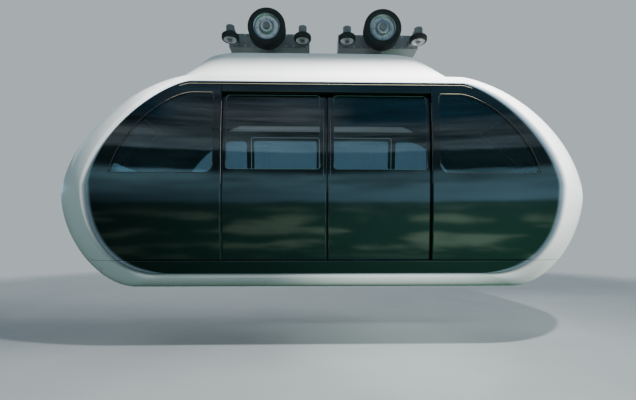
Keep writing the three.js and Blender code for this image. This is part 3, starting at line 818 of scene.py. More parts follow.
# Where one section of the shell starts, its rim's end and its last y, for an inset from the outer face
def sectionFrame(turn, inset):
    sx, sz = edgePoint(sideEdge, turn)
    mx, mz = edgePoint(moved(shellEdge, -inset), turn)
    y = sideY(sz) - inset
    flatDepth = np.where(turn <= 90, shell["topDepth"], shell["bottomDepth"])
    endY = sideY(sz) - flatDepth - (shell["noseDepth"] - flatDepth) * np.sin(np.radians(turn)) ** 2
    rimWidth = np.interp(turn, [100, 165], [shell["rimWidth"], shell["lowRimWidth"]])
    reach = rimWidth / np.hypot(mx - sx, mz - sz)
    cx = sx + (mx - sx) * reach
    cz = sz + (mz - sz) * reach
    return sx, sz, mx, mz, y, endY, cx, cz, y - shell["rimDrop"]


# Points along an elliptic arc that starts at an angle, as shares of its way in and of its way up
def arcShares(start, share):
    angle = start + (math.pi / 2 - start) * share
    return ((math.cos(start) - np.cos(angle)) / math.cos(start),
            (np.sin(angle) - math.sin(start)) / (1 - math.sin(start)))


# Across the section: 0 to 1 is the flat rim, 1 to 2 a quarter ellipse that starts at turnStart degrees,
# 2 to 3 straight on to the middle of the pod
def shellPoint(turn, across, inset=0.0):
    turn, across = np.broadcast_arrays(np.asarray(turn, float), np.asarray(across, float))
    sx, sz, mx, mz, y, endY, cx, cz, cy = sectionFrame(turn, inset)
    inward, out = arcShares(math.radians(shell["turnStart"]), np.clip(across - 1, 0, 1))
    onRim = np.clip(across, 0, 1)
    x = np.where(across < 1, sx + (cx - sx) * onRim, cx + (mx - cx) * out)
    z = np.where(across < 1, sz + (cz - sz) * onRim, cz + (mz - cz) * out)
    curved = cy - (cy - endY) * inward
    flat = endY * (1 - np.clip(across - 2, 0, 1))
    yy = np.where(across < 1, y + (cy - y) * onRim, np.where(across > 2, flat, curved))
    return np.stack([x, yy, z], -1)


# The inverse across the section: where it comes to a given y
def acrossAtY(turn, wantedY, inset=0.0):
    _, _, _, _, _, endY, _, _, cy = sectionFrame(np.asarray(turn, float), inset)
    start = math.radians(shell["turnStart"])
    inward = np.clip((cy - wantedY) / (cy - endY), 0, 1)
    angle = np.arccos(np.clip(math.cos(start) * (1 - inward), -1, 1))
    onCurve = 1 + (angle - start) / (math.pi / 2 - start)
    onFlat = 2 + np.clip((endY - wantedY) / np.maximum(endY, 1e-6), 0, 1)
    return np.where(endY > wantedY, onFlat, onCurve)


# For each column, the turn between two limits at which the surface comes down to a height
def turnAtHeight(heightAt, height, columns, low=0.0, high=180.0, samples=900):
    turns = np.linspace(low, high, samples)[:, None]
    heights = heightAt(turns, columns[None, :])
    found = [np.interp(-height, -heights[:, k], turns[:, 0]) for k in range(len(columns))]
    return np.array(found)


# Steps from 0 to 1, closer together at both ends
def eased(count):
    return (1 - np.cos(np.linspace(0, math.pi, count))) / 2


# The soft change from white to black along the side edge at some turns: its width, and how far its middle
# lies inside the edge
fadeTurns = (0, 10, 30, 55, 75, 90, 120, 150, 168, 180)
edgeFade = {
    "front": {"width": (0.010, 0.030, 0.075, 0.100, 0.100, 0.100, 0.100, 0.090, 0.060, 0.012),
              "inside": (0.000, -0.006, -0.018, -0.014, -0.006, 0.000, 0.000, 0.000, 0.000, 0.000)},
    "rear": {"width": (0.010, 0.010, 0.010, 0.014, 0.050, 0.105, 0.105, 0.090, 0.060, 0.012),
             "inside": (0.000, 0.000, 0.000, 0.000, -0.002, -0.004, -0.002, 0.000, 0.000, 0.000)},
}


# Distance from each (x, z) to the side edge's line, less than 0 inside it, and the turn there
def edgeDistance(x, z):
    turns = np.linspace(0, 180, 721)
    ex, ez = edgePoint(sideEdge, turns)
    ex = np.concatenate([[0.0], ex, [0.0]])
    ez = np.concatenate([[sideEdge["topZ"]], ez, [sideEdge["bottomZ"]]])
    turns = np.concatenate([[0.0], turns, [180.0]])
    a = np.stack([ex[:-1], ez[:-1]], -1)
    d = np.stack([ex[1:], ez[1:]], -1) - a
    p = np.stack([np.abs(x), z], -1)[..., None, :]
    t = np.clip(np.sum((p - a) * d, -1) / np.maximum(np.sum(d * d, -1), 1e-12), 0, 1)
    away = p - a - t[..., None] * d
    reach = np.linalg.norm(away, axis=-1)
    nearest = reach.argmin(-1)[..., None]
    outward = away[..., 0] * -d[..., 1] + away[..., 1] * d[..., 0]
    sign = np.sign(np.take_along_axis(outward, nearest, -1))[..., 0]
    return np.take_along_axis(reach, nearest, -1)[..., 0] * sign, turns[nearest[..., 0]]


# Writes the fade attribute: how far a point has gone over to the other tone, 0 to 1
def paintFade(piece, isWhite):
    co = readPoints(piece.data)
    fade = np.zeros(len(co))
    chunk = 4000
    for start in range(0, len(co), chunk):
        block = co[start:start + chunk]
        distance, turn = edgeDistance(block[:, 0], block[:, 2])
        width, inside = (np.where(block[:, 0] > 0, np.interp(turn, fadeTurns, edgeFade["front"][key]),
                                  np.interp(turn, fadeTurns, edgeFade["rear"][key]))
                         for key in ("width", "inside"))
        past = (distance + inside) / width
        fade[start:start + chunk] = np.clip(0.5 - past if isWhite else 0.5 + past, 0, 1)
    layer = piece.data.attributes.new("fade", "FLOAT", "POINT")
    layer.data.foreach_set("value", fade.astype(np.float32))


# White shell

rimShare = 0.16      # part of the arch's columns that lie on the rim


# A side arch's surface at an inset: rows run from the rear seam over the top to the front seam, and
# columns from the side edge to the arch's inner edge
def archSurface(inset, rows=84, columns=44):
    part = np.unique(np.concatenate([np.linspace(0, rimShare, 9), np.linspace(rimShare, 1, columns - 8)]))

    def acrossOf(turn, share):
        last = acrossAtY(turn, archInnerY + panelGap / 2, inset)
        beyond = 1 + (share - rimShare) / (1 - rimShare) * (last - 1)
        return np.where(share < rimShare, share / rimShare, beyond)

    def heightOf(turn, share):
        return shellPoint(turn, acrossOf(turn, share), inset)[..., 2]

    lastTurn = turnAtHeight(heightOf, seamZ + panelGap / 2, part)
    turns = np.linspace(0, 1, rows)[:, None] * lastTurn[None, :]
    front = shellPoint(turns, acrossOf(turns, part[None, :]), inset)
    rear = front[::-1] * (-1, 1, 1)
    return np.concatenate([rear, front])


def addArches():
    left = slabPiece("sideArchLeft", archSurface(0), archSurface(shell["thickness"]), "whiteShell",
                     "cabinLining")
    paintFade(left, True)
    installPair(left, "Left", "Right", 1, "side_arch")


# The belly's surface: columns run from the left side edge under the pod to the right side edge
def bellySurface(inset, rows=46, columns=34):
    part = np.unique(np.concatenate([np.linspace(0, 0.08, 8), np.linspace(0.08, 0.5, columns)]))
    across = np.interp(part, [0, 0.08, 0.34, 0.5], [0, 1, 2, 3])

    def heightOf(turn, where):
        return shellPoint(turn, where, inset)[..., 2]

    firstTurn = turnAtHeight(heightOf, seamZ - panelGap / 2, across, 60.0)
    turns = firstTurn + np.linspace(0, 1, rows)[:, None] * (180 - firstTurn)[None, :]
    half = shellPoint(turns, across[None, :], inset)
    whole = np.concatenate([half, half[:, -2::-1] * (1, -1, 1)], 1)
    rear = whole[::-1] * (-1, 1, 1)
    return np.concatenate([whole, rear])


def addBelly():
    tub = slabPiece("bellyTub", bellySurface(0), bellySurface(shell["thickness"]), "whiteShell",
                    "cabinLining")
    paintFade(tub, True)
    install(tub, "cabin", "belly_tub")


# The shell's middle strip by turn and y
def middleSurface(turns, ys, inset):
    return shellPoint(turns, acrossAtY(turns, np.abs(ys), inset), inset) * np.stack(
        [np.ones_like(ys), np.where(ys < 0, -1.0, 1.0), np.ones_like(ys)], -1)


def addRoofPanel(rows=18, columns=16):
    turnEnd = np.interp(roofHalfLength, edgePoint(shellEdge, np.linspace(0, 40, 400))[0],
                        np.linspace(0, 40, 400))
    ys = np.linspace(-1, 1, columns)[None, :] * (archInnerY - panelGap / 2)
    turns = np.linspace(0, turnEnd, rows)[:, None] + 0 * ys
    grids = []
    for inset in (0.0, shell["thickness"]):
        front = middleSurface(turns, ys + 0 * turns, inset)
        grids.append(np.concatenate([front[::-1] * (-1, 1, 1), front]))
    panel = slabPiece("roofPanel", *grids, "whiteShell", "cabinLining")
    install(panel, "cabin", "roof_panel")
    return turnEnd


nose = {"columns": 44, "rows": 90, "gap": 0.12}      # the gap to the roof in degrees of turn
windshield = {"halfWidth": 0.330, "topZ": -0.820, "bottomZ": -1.500, "corner": 0.095, "recess": 0.003,
              "thickness": 0.020, "seal": 0.009, "sealRise": 0.004, "cut": (1.6, 3.3),
              "play": (0.994, 0.9985)}
lamp = {"halfWidth": 0.300, "topZ": -1.640, "bottomZ": -1.690, "recess": 0.004, "depth": 0.036,
        "cut": (2.4, 3.3), "play": (0.998, 1.0)}


def rectangle(aLow, aHigh, bLow, bHigh):
    return np.array([[aLow, bLow], [aHigh, bLow], [aHigh, bHigh], [aLow, bHigh]])


def noseStrip(ys, inset, firstTurn, rows):
    def heightOf(turn, y):
        return shellPoint(turn, acrossAtY(turn, np.abs(y), inset), inset)[..., 2]

    lastTurn = turnAtHeight(heightOf, seamZ + panelGap / 2, ys, 60.0)
    turns = firstTurn + np.linspace(0, 1, rows)[:, None] * (lastTurn - firstTurn)[None, :]
    return middleSurface(turns, ys[None, :] + 0 * turns, inset)


# The nose's point and outward normal above each (y, z)
def noseFace(ys, zs, inset=0.0):
    step = 0.002

    def pointAt(y, z):
        low = np.zeros_like(y)
        high = np.full_like(y, 180.0)
        for _ in range(40):
            middle = (low + high) / 2
            height = shellPoint(middle, acrossAtY(middle, np.abs(y), inset), inset)[..., 2]
            low = np.where(height > z, middle, low)
            high = np.where(height > z, high, middle)
        x = shellPoint(low, acrossAtY(low, np.abs(y), inset), inset)[..., 0]
        return np.stack([x, y, z], -1)

    here = pointAt(ys, zs)
    normal = np.cross(pointAt(ys + step, zs) - here, pointAt(ys, zs + step) - here)
    normal /= np.linalg.norm(normal, axis=-1)[..., None]
    return here, normal * np.sign(normal[..., :1])


# A sheet of the nose between two insets, kept to what is inside an outline
def nosePart(name, strip, insets, outline, cut, finish):
    piece = slabPiece(name, strip(insets[0]), strip(insets[1]), finish)
    cutWith(piece, prism(outline, 0, *cut), keep=True)
    return piece


def addNoses(turnStart):
    n, w, bar = nose, windshield, lamp
    ys = np.linspace(-1, 1, n["columns"]) * (archInnerY - panelGap / 2)

    def strip(inset):
        return noseStrip(ys, inset, turnStart + n["gap"], n["rows"])

    glassOutline = roundCorners(rectangle(-w["halfWidth"], w["halfWidth"], w["bottomZ"], w["topZ"]),
                                w["corner"], steps=12)
    lampOutline = rectangle(-bar["halfWidth"], bar["halfWidth"], bar["bottomZ"], bar["topZ"])
    cover = slabPiece("noseFront", strip(0.0), strip(shell["thickness"]), "whiteShell", "cabinLining")
    cutWith(cover, prism(glassOutline, 0, *w["cut"]))
    cutWith(cover, prism(lampOutline, 0, *bar["cut"]))
    pane = nosePart("windshieldFront", strip, (w["recess"], w["recess"] + w["thickness"]),
                    glassOutline * w["play"], w["cut"], "darkGlass")
    lens = nosePart("noseLampFront", strip, (bar["recess"], bar["recess"] + bar["depth"]),
                    lampOutline * bar["play"], bar["cut"], "lampLens")
    section = circleSection(w["seal"], w["sealRise"])
    band = bandPart(*noseFace(*glassOutline.T), section, "rubberSeal")
    seal = newPiece("windshieldSealFront", [band], 50.0)
    for piece, slotName, node in ((cover, "white_shell", "nose"), (pane, "tinted_glass", "windshield"),
                                  (lens, "lamp_lens", "nose_lamp"), (seal, "black_gloss", None)):
        installPair(piece, "Front", "Rear", 0, node)


# Black sides

panel = {"doorX": 1.0686, "roll": 0.004, "jambRoll": 0.010, "gap": 0.0010, "seamRoll": 0.005}
endWindow = {"nearX": 1.145, "margin": 0.198, "topX": 1.364, "topZ": -0.763, "topPower": 1.6,
             "sillZ": -1.586, "nearCorner": 0.090, "corner": 0.060, "recess": 0.002, "thickness": 0.020,
             "seal": 0.0030, "sealRise": 0.0022, "play": 0.0008, "farX": 2.3, "cutMargin": 0.02,
             "sillGap": 0.002}
doorWindow = {"nearX": 0.071, "farX": 1.030, "topZ": -0.768, "sillZ": -1.541, "corner": 0.040,
              "cutMargin": 0.01}
leaf = {"nearX": 0.0025, "farX": 1.088, "topZ": -0.737, "bottomZ": -2.462, "inset": 0.051,
        "thickness": 0.040, "roll": 0.012, "farRoll": 0.008}
header = {"bottomZ": -0.754, "roll": 0.010, "gap": 0.0012}
# A thin moulding under the top edge. Its bright gold is a painted highlight
highlightMoulding = {"inset": 0.0270, "halfWidth": 0.0030, "rise": 0.0030, "lastTurn": 12.0}
# A band round each leaf window's inside. Its pale glowing finish is a painted highlight
innerHighlightTrim = {"outside": 0.036, "halfWidth": 0.0045, "rise": 0.003}
leafTrim = {"x": 0.0355, "halfWidth": 0.0020, "rise": 0.0020, "topZ": -0.880, "bottomZ": -1.620}
# A strip over each end window's top, thinning to its end. Its bright gold is a painted highlight
windowHighlightTrim = {"outside": 0.004, "start": 0.006, "lastTurn": 24.0, "halfWidth": 0.0026, "rise": 0.0022}
jambTrim = {"inset": 0.014, "halfWidth": 0.0022, "rise": 0.006, "topZ": -0.840, "bottomZ": -1.700}


def edgeXAtHeight(z):
    turns = np.linspace(0, 180, 2400)
    xs, zs = edgePoint(sideEdge, turns)
    return np.interp(-z, -zs, xs)


# A rolled edge: how far the face drops at a distance from the edge, a quarter circle
def rolled(distance, radius):
    near = np.clip(radius - distance, 0, radius)
    return radius - np.sqrt(np.maximum(radius ** 2 - near ** 2, 0))


def endWindowOutline(shrink=0.0):
    w = endWindow
    edge = {**moved(sideEdge, -w["margin"] - shrink), "topX": w["topX"], "topZ": w["topZ"] - shrink,
            "topPower": w["topPower"]}
    x, z = edgePoint(edge, np.linspace(0, 90, 60))
    above = z > w["sillZ"] + shrink + w["sillGap"]
    curve = np.stack([x[above], z[above]], -1)
    near, sill = w["nearX"] + shrink, w["sillZ"] + shrink
    angle = np.radians(np.linspace(270, 180, 10))
    corner = np.stack([near + w["nearCorner"] * (1 + np.cos(angle)),
                       sill + w["nearCorner"] * (1 + np.sin(angle))], -1)
    return roundCorners(np.concatenate([corner, [[near, w["topZ"] - shrink]], curve,
                                        [[curve[-1, 0], sill]]]), w["corner"])


def doorWindowOutline(shrink=0.0):
    w = doorWindow
    return roundCorners(rectangle(w["nearX"] + shrink, w["farX"] - shrink, w["sillZ"] + shrink,
                                  w["topZ"] - shrink), w["corner"])


# A sheet of the right side: y from the height, an inset and a drop
def sidePatch(xs, zs, drop, inset):
    return np.stack([xs, -(sideY(zs) - inset - drop), zs], -1)


def sideNormals(zs):
    step = 0.001
    slope = (sideY(zs + step) - sideY(zs - step)) / (2 * step)
    normals = np.stack([0 * zs, -np.ones_like(zs), -slope], -1)
    return normals / np.linalg.norm(normals, axis=-1)[:, None]


def patchGrid(xLow, xHigh, zLow, zHigh, columns, rows, easing=True):
    u = eased(columns) if easing else np.linspace(0, 1, columns)
    v = eased(rows) if easing else np.linspace(0, 1, rows)
    xs = xLow + (xHigh - xLow) * u[None, :] + 0 * v[:, None]
    zs = zLow + (zHigh - zLow) * v[:, None] + 0 * u[None, :]
    return xs, zs


# Part of the right side between two insets, its outer edges dropped
def sideSlab(name, xs, zs, drop, inset, thickness, finish, insideFinish=None):
    return slabPiece(name, sidePatch(xs, zs, drop, inset), sidePatch(xs, zs, 0, inset + thickness), finish,
                     insideFinish)


# Cuts an outline of (x, z) points through the right side
def cutSide(piece, outline, keep=False):
    cutWith(piece, prism(outline, 1, *side["cut"]), keep)


# Copies of a piece of the front right at all four corners: its name ends in FrontRight
def toAllCorners(piece, body, node=None, faded=False):
    front = [piece, mirroredCopy(piece, piece.name.replace("Right", "Left"), 1)]
    rear = [mirroredCopy(copy, copy.name.replace("Front", "Rear"), 0) for copy in front]
    for copy, tail in zip(front + rear, ("front_right", "front_left", "rear_right", "rear_left")):
        if faded:
            paintFade(copy, False)
        install(copy, body if body == "cabin" else f"{body}_{tail}", node and f"{node}_{tail}")


def addSidePanels(rows=80, columns=72):
    p, w = panel, endWindow
    heights = seamZ + panelGap / 2 + eased(rows) * (sideEdge["topZ"] - p["gap"] - seamZ - panelGap / 2)
    share = eased(columns)
    zs = heights[:, None] + 0 * share[None, :]
    last = edgeXAtHeight(heights + p["gap"]) - p["gap"]
    xs = p["doorX"] + share[None, :] * (last - p["doorX"])[:, None]
    inside = -edgeDistance(xs, zs)[0]
    drop = np.maximum(rolled(inside, p["roll"]), rolled(xs - p["doorX"], p["jambRoll"]))
    drop = np.maximum(drop, rolled(zs - zs[0], p["seamRoll"]))
    piece = sideSlab("sidePanelFrontRight", xs, zs, drop, 0, side["thickness"], "blackGloss", "darkPlastic")
    cutSide(piece, endWindowOutline())
    toAllCorners(piece, "cabin", "side_panel", faded=True)

    out = w["cutMargin"]
    xs, zs = patchGrid(w["nearX"] - out, w["farX"], w["sillZ"] - out, w["topZ"] + out, 40, rows, False)
    pane = sideSlab("sideWindowFrontRight", xs, zs, 0, w["recess"], w["thickness"], "tintedGlass")
    cutSide(pane, endWindowOutline(w["play"]), keep=True)
    toAllCorners(pane, "cabin", "side_window")
    addSeal("sideWindowSealFrontRight", endWindowOutline(), 0.0, "cabin", "rubberSeal")


# A thin band round an outline, on the side's face or on a leaf's inner face
def addSeal(name, outline, inset, body, finish, halfWidth=endWindow["seal"], rise=endWindow["sealRise"]):
    loop = sidePatch(outline[:, 0], outline[:, 1], 0, inset)
    section = circleSection(halfWidth, rise)
    seal = newPiece(name, [bandPart(loop, sideNormals(outline[:, 1]), section, finish)], 50.0)
    toAllCorners(seal, body)


# Header over the doors and the skirt under the seam
def addHeaderAndSkirt():
    h, p = header, panel
    halfLength = p["doorX"] - h["gap"]
    xs, zs = patchGrid(-halfLength, halfLength, h["bottomZ"], sideEdge["topZ"] - p["gap"], 50, 26)
    drop = np.maximum(rolled(zs - h["bottomZ"], h["roll"]), rolled(sideEdge["topZ"] - zs, p["roll"]))
    plate = sideSlab("doorHeaderRight", xs, zs, drop, 0, side["thickness"], "blackGloss", "darkPlastic")

    low, high = sideEdge["bottomZ"] + p["gap"], seamZ - panelGap / 2
    heights = low + eased(22) * (high - low)
    share = 2 * eased(120) - 1
    zs = heights[:, None] + 0 * share[None, :]
    xs = share[None, :] * (edgeXAtHeight(heights - p["gap"]) - p["gap"])[:, None]
    drop = np.maximum(rolled(-edgeDistance(xs, zs)[0], p["roll"]), rolled(zs[-1] - zs, p["seamRoll"]))
    skirt = sideSlab("sideSkirtRight", xs, zs, drop, 0, side["thickness"], "blackGloss", "darkPlastic")
    for piece, node in ((plate, "door_header"), (skirt, "side_skirt")):
        paintFade(piece, False)
        installPair(piece, "Right", "Left", 1, node)


doorTrack = {"halfLength": 1.650, "topZ": -0.7005, "bottomZ": -0.7360, "outerInset": 0.0585,
             "innerInset": 0.0905, "groove": 0.010, "grooveDepth": 0.012, "corner": 0.0025}


# The track that the leaves hang from: a bar with a groove in its cabin side, its section in (y, z)
def addDoorTrack():
    t = doorTrack
    middle = (t["topZ"] + t["bottomZ"]) / 2
    outer = -(sideY(middle) - t["outerInset"])
    inner = -(sideY(middle) - t["innerInset"])
    lean = sideY(t["bottomZ"]) - sideY(middle)
    grooveY, grooveLow, grooveHigh = inner - t["grooveDepth"], middle - t["groove"], middle + t["groove"]
    bar = roundCorners([[outer - lean, t["bottomZ"]], [inner - lean, t["bottomZ"]], [inner, grooveLow],
                        [grooveY, grooveLow], [grooveY, grooveHigh], [inner, grooveHigh],
                        [inner + lean, t["topZ"]], [outer + lean, t["topZ"]]], t["corner"], steps=3)
    xs = np.array([-t["halfLength"], t["halfLength"]])[:, None] + 0 * bar[None, :, 0]
    points = np.stack([xs, bar[None, :, 0] + 0 * xs, bar[None, :, 1] + 0 * xs], -1)
    ends = points.mean(1, keepdims=True) + 0 * points
    points = np.concatenate([ends[:1], points, ends[1:]])
    track = newPiece("doorTrackRight", [(points, gridFaces(*points.shape[:2], False, True), "darkTrim")])
    installPair(track, "Right", "Left", 1)


runOutPower = 0.18


# A thin strip along a line of the side: a half-round that runs out at both ends, or thins to the last
def stripPiece(name, xs, zs, size, finish, inset=0.0, taper=False):
    line = sidePatch(xs, zs, 0, inset)
    tangent = np.gradient(line, axis=0)
    tangent /= np.linalg.norm(tangent, axis=1)[:, None]
    normals = sideNormals(zs)
    aside = np.cross(tangent, normals)
    along = np.linspace(0, 1, len(xs))
    runOut = np.sin(math.pi * along) ** runOutPower * np.where(taper, np.sqrt(1 - along), 1)
    angle = np.linspace(0, 2 * math.pi, 12, endpoint=False)
    across = (size["halfWidth"] * np.cos(angle))[None, :, None] * aside[:, None]
    up = (size["rise"] * np.sin(angle))[None, :, None] * normals[:, None]
    points = line[:, None] + (across + up) * runOut[:, None, None]
    return newPiece(name, [(points, gridFaces(len(xs), 12, False, True), finish)], 50.0)


def addTrims():
    m, t, j = highlightMoulding, windowHighlightTrim, jambTrim
    x, z = edgePoint(moved(sideEdge, -m["inset"]), np.linspace(0, m["lastTurn"], 40))
    # The moulding's bright gold is a painted highlight along the top edge
    strip = stripPiece("edgeMouldingRight", np.concatenate([-x[::-1], x]), np.concatenate([z[::-1], z]), m,
                       "brightTrim")
    installPair(strip, "Right", "Left", 1)
    edge = {**moved(sideEdge, -endWindow["margin"] + t["outside"]), "topX": endWindow["topX"],
            "topZ": endWindow["topZ"] + t["outside"], "topPower": endWindow["topPower"]}
    x, z = edgePoint(edge, np.linspace(0, t["lastTurn"], 40))
    x = np.concatenate([np.linspace(endWindow["nearX"] + t["start"], x[0], 12)[:-1], x])
    z = np.concatenate([np.full(11, z[0]), z])
    # A bright strip over each end window, thinning to its end, is a painted highlight
    trim = stripPiece("windowTrimFrontRight", x, z, t, "brightTrim", taper=True)
    toAllCorners(trim, "cabin")
    zs = np.linspace(j["topZ"], j["bottomZ"], 60)
    jamb = stripPiece("doorJambTrimFrontRight", panel["doorX"] + 0 * zs, zs, j, "darkPlastic", j["inset"])
    toAllCorners(jamb, "cabin")


meetingSeal = {"nearX": 0.0006, "farX": 0.0075, "outerInset": 0.060, "innerInset": 0.084, "gap": 0.006,
               "roll": 0.006}


def addDoors(rows=70, columns=48):
    d, w, i, v, m = leaf, doorWindow, innerHighlightTrim, leafTrim, meetingSeal
    xs, zs = patchGrid(d["nearX"], d["farX"], d["bottomZ"], d["topZ"], columns, rows)
    drop = np.maximum(rolled(xs - d["nearX"], d["roll"]), rolled(d["farX"] - xs, d["farRoll"]))
    piece = sideSlab("doorLeafFrontRight", xs, zs, drop, d["inset"], d["thickness"], "blackGloss",
                     "darkPlastic")
    cutSide(piece, doorWindowOutline())
    toAllCorners(piece, "door", "door_leaf")

    out = w["cutMargin"]
    xs, zs = patchGrid(w["nearX"] - out, w["farX"] + out, w["sillZ"] - out, w["topZ"] + out, 30, rows, False)
    pane = sideSlab("doorWindowFrontRight", xs, zs, 0, d["inset"] + endWindow["recess"],
                    endWindow["thickness"], "tintedGlass")
    cutSide(pane, doorWindowOutline(endWindow["play"]), keep=True)
    toAllCorners(pane, "door", "door_window")
    addSeal("doorWindowSealFrontRight", doorWindowOutline(), d["inset"], "door", "darkTrim")
    # Real bands on the leaves' inner faces, with their pale glow a painted highlight
    addSeal("doorInnerTrimFrontRight", doorWindowOutline(-i["outside"]), d["inset"] + d["thickness"], "door",
            "paleTrim", i["halfWidth"], i["rise"])
    zs = np.linspace(v["bottomZ"], v["topZ"], 50)
    strip = stripPiece("doorLeafTrimFrontRight", v["x"] + 0 * zs, zs, v, "darkTrim", d["inset"])
    toAllCorners(strip, "door")

    xs, zs = patchGrid(m["nearX"], m["farX"], d["bottomZ"] + m["gap"], d["topZ"] - m["gap"], 4, 50)
    drop = rolled(xs - m["nearX"], m["roll"])
    lip = slabPiece("doorMeetingSealFrontRight", sidePatch(xs, zs, drop, m["outerInset"]),
                    sidePatch(xs, zs, -drop, m["innerInset"]), "rubberSeal")
    toAllCorners(lip, "door")


# Cabin

deck = {"ribs": 68, "depth": 0.0022, "edge": 0.030, "bearerX": (-1.5, -0.5, 0.5, 1.5), "bearerHalfX": 0.030,
        "bearerHalfY": 0.700, "bearerRound": 0.006, "overlap": 0.004, "thickness": 0.039, "steepness": 1.6}


# The deck cover's top runs in long ribs: a flattened cosine across the width
def addDeck():
    low, high = (np.array(corner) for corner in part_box("floor_deck"))
    d = deck
    ys = np.concatenate([[low[1]], np.linspace(low[1] + d["edge"], high[1] - d["edge"], d["ribs"] * 8 + 1),
                         [high[1]]])
    phase = (ys - ys[1]) / (ys[-2] - ys[1]) * d["ribs"] * 2 * math.pi
    groove = np.clip(d["steepness"] * np.cos(phase), -1, 1) * 0.5 + 0.5
    groove[[0, -1]] = 0
    xs = np.array([low[0], high[0]])[:, None] + 0 * ys[None, :]
    top = np.stack([xs, ys + 0 * xs, high[2] - d["depth"] * groove + 0 * xs], -1)
    bottom = np.stack([xs, ys + 0 * xs, high[2] - d["thickness"] + 0 * xs], -1)
    parts = [slabPart(top, bottom, "deckCover")]
    bearerTop = high[2] - d["thickness"] + d["overlap"]
    for x in d["bearerX"]:
        parts.append(boxPart((x - d["bearerHalfX"], -d["bearerHalfY"], low[2]),
                             (x + d["bearerHalfX"], d["bearerHalfY"], bearerTop), d["bearerRound"],
                             "truckPaint"))
    install(newPiece("floorDeck", parts), "cabin", "floor_deck")


# Light strip in the curve between the ceiling and the sides, shorter along its top edge
cove = {"longHalf": 1.400, "shortHalf": 1.230, "first": 0.08, "last": 2.04, "clearance": 0.003,
        "thickness": 0.006}


def addCove():
    c = cove
    across = np.linspace(c["first"], c["last"], 24)
    reach = np.linspace(c["longHalf"], c["shortHalf"], 24)
    grids = []
    for extra in (c["clearance"], c["clearance"] + c["thickness"]):
        curve = shellPoint(0.0, across, shell["thickness"] + extra)
        xs = np.linspace(-1, 1, 9)[:, None] * reach[None, :]
        grids.append(np.stack([xs, -curve[:, 1] + 0 * xs, curve[:, 2] + 0 * xs], -1))
    installPair(slabPiece("coveLightRight", *grids, "coveLight"), "Right", "Left", 1)


def addBenches():
    for end in ("front", "rear"):
        bench = dressedCopy(f"bench_{end}", f"bench{end.capitalize()}", "darkPlastic", 0.010, 3)
        install(bench, "cabin", f"bench_{end}")


cushion = {"thickness": 0.110, "halfWidth": 0.770, "corner": 0.028, "shrink": 0.012, "voxel": 0.012,
           "pressure": 4.0, "frames": 20, "cap": 0.024, "crown": 0.006, "channels": (-0.257, 0.257),
           "channelDepth": 0.016, "channelWidth": 0.011, "edge": 0.0005}
benchForm = {"frontX": 1.700, "backX": 2.190, "seatZ": -2.110, "backTopX": 2.330, "backTopZ": -1.420,
             "gap": 0.0010, "backGap": 0.008}


# Swells a closed pad with the cloth solver: inside pressure, no gravity, movement capped
def inflated(piece):
    c = cushion
    remesh = piece.modifiers.new("voxels", "REMESH")
    remesh.mode = "VOXEL"
    remesh.voxel_size = c["voxel"]
    applied(piece, remesh)
    before = readPoints(piece.data)
    cloth = piece.modifiers.new("swell", "CLOTH")
    cloth.settings.use_pressure = True
    cloth.settings.uniform_pressure_force = c["pressure"]
    cloth.settings.effector_weights.gravity = 0
    cloth.settings.quality = 4
    cloth.point_cache.frame_end = c["frames"]
    scene = bpy.context.scene
    for step in range(1, c["frames"] + 1):
        scene.frame_set(step)
    applied(piece, cloth)
    scene.frame_set(1)
    move = readPoints(piece.data) - before
    length = np.linalg.norm(move, axis=1)[:, None]
    return before + move * np.minimum(1, c["cap"] / np.maximum(length, 1e-9))


# A pad in its own frame: u deep, v wide, w thick, its back face at w = 0. Swollen, flat on its back, and
# pinched towards its middle along the sewn channels.
def addPad(name, depth, origin, lean):
    c = cushion
    inset = c["shrink"]
    size = np.array([depth, 2 * c["halfWidth"], c["thickness"]])
    low = np.array([0, -c["halfWidth"], 0]) + inset
    pad = newPiece(name, [boxPart(low, low + size - 2 * inset, c["corner"], "seatCloth", 5)], 60.0)
    points = inflated(pad)
    middle = size / 2 - [0, c["halfWidth"], 0]
    half = size / 2
    for channel in c["channels"]:
        near = np.exp(-((points[:, 1] - channel) / c["channelWidth"]) ** 2)
        for k in (0, 2):
            shrinkTo = 1 - near * c["channelDepth"] / half[k]
            points[:, k] = middle[k] + (points[:, k] - middle[k]) * shrinkTo
    points[:, 0] = np.clip(points[:, 0], c["edge"], depth - c["edge"])
    points[:, 1] = np.clip(points[:, 1], -c["halfWidth"], c["halfWidth"])
    points[:, 2] = np.clip(points[:, 2], benchForm["gap"], c["thickness"] + c["crown"])
    cosine, sine = math.cos(lean), math.sin(lean)
    u, v, w = points.T
    placed = np.stack([origin[0] + u * cosine - w * sine, v, origin[1] + u * sine + w * cosine], -1)
    pad.data.vertices.foreach_set("co", placed.astype(np.float32).ravel())
    pad.data.update()
    divide = pad.modifiers.new("smooth", "SUBSURF")
    divide.levels = divide.render_levels = 1
    applied(pad, divide)
    smoothPiece(pad, 60.0)
    return pad


def addCushions():
    b = benchForm
    seat = addPad("seatCushionFront", b["backX"] - cushion["thickness"] - b["frontX"],
                  (b["frontX"], b["seatZ"]), 0.0)
    rise = math.atan2(b["backTopZ"] - b["seatZ"], b["backTopX"] - b["backX"])
    length = math.hypot(b["backTopX"] - b["backX"], b["backTopZ"] - b["seatZ"])
    start = b["backGap"]
    back = addPad("backCushionFront", length - 2 * start,
                  (b["backX"] + start * math.cos(rise), b["seatZ"] + start * math.sin(rise)), rise)
    for piece, node in ((seat, "seat_cushion"), (back, "back_cushion")):
        for made in installPair(piece, "Front", "Rear", 0, node):
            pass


# Roof fairing

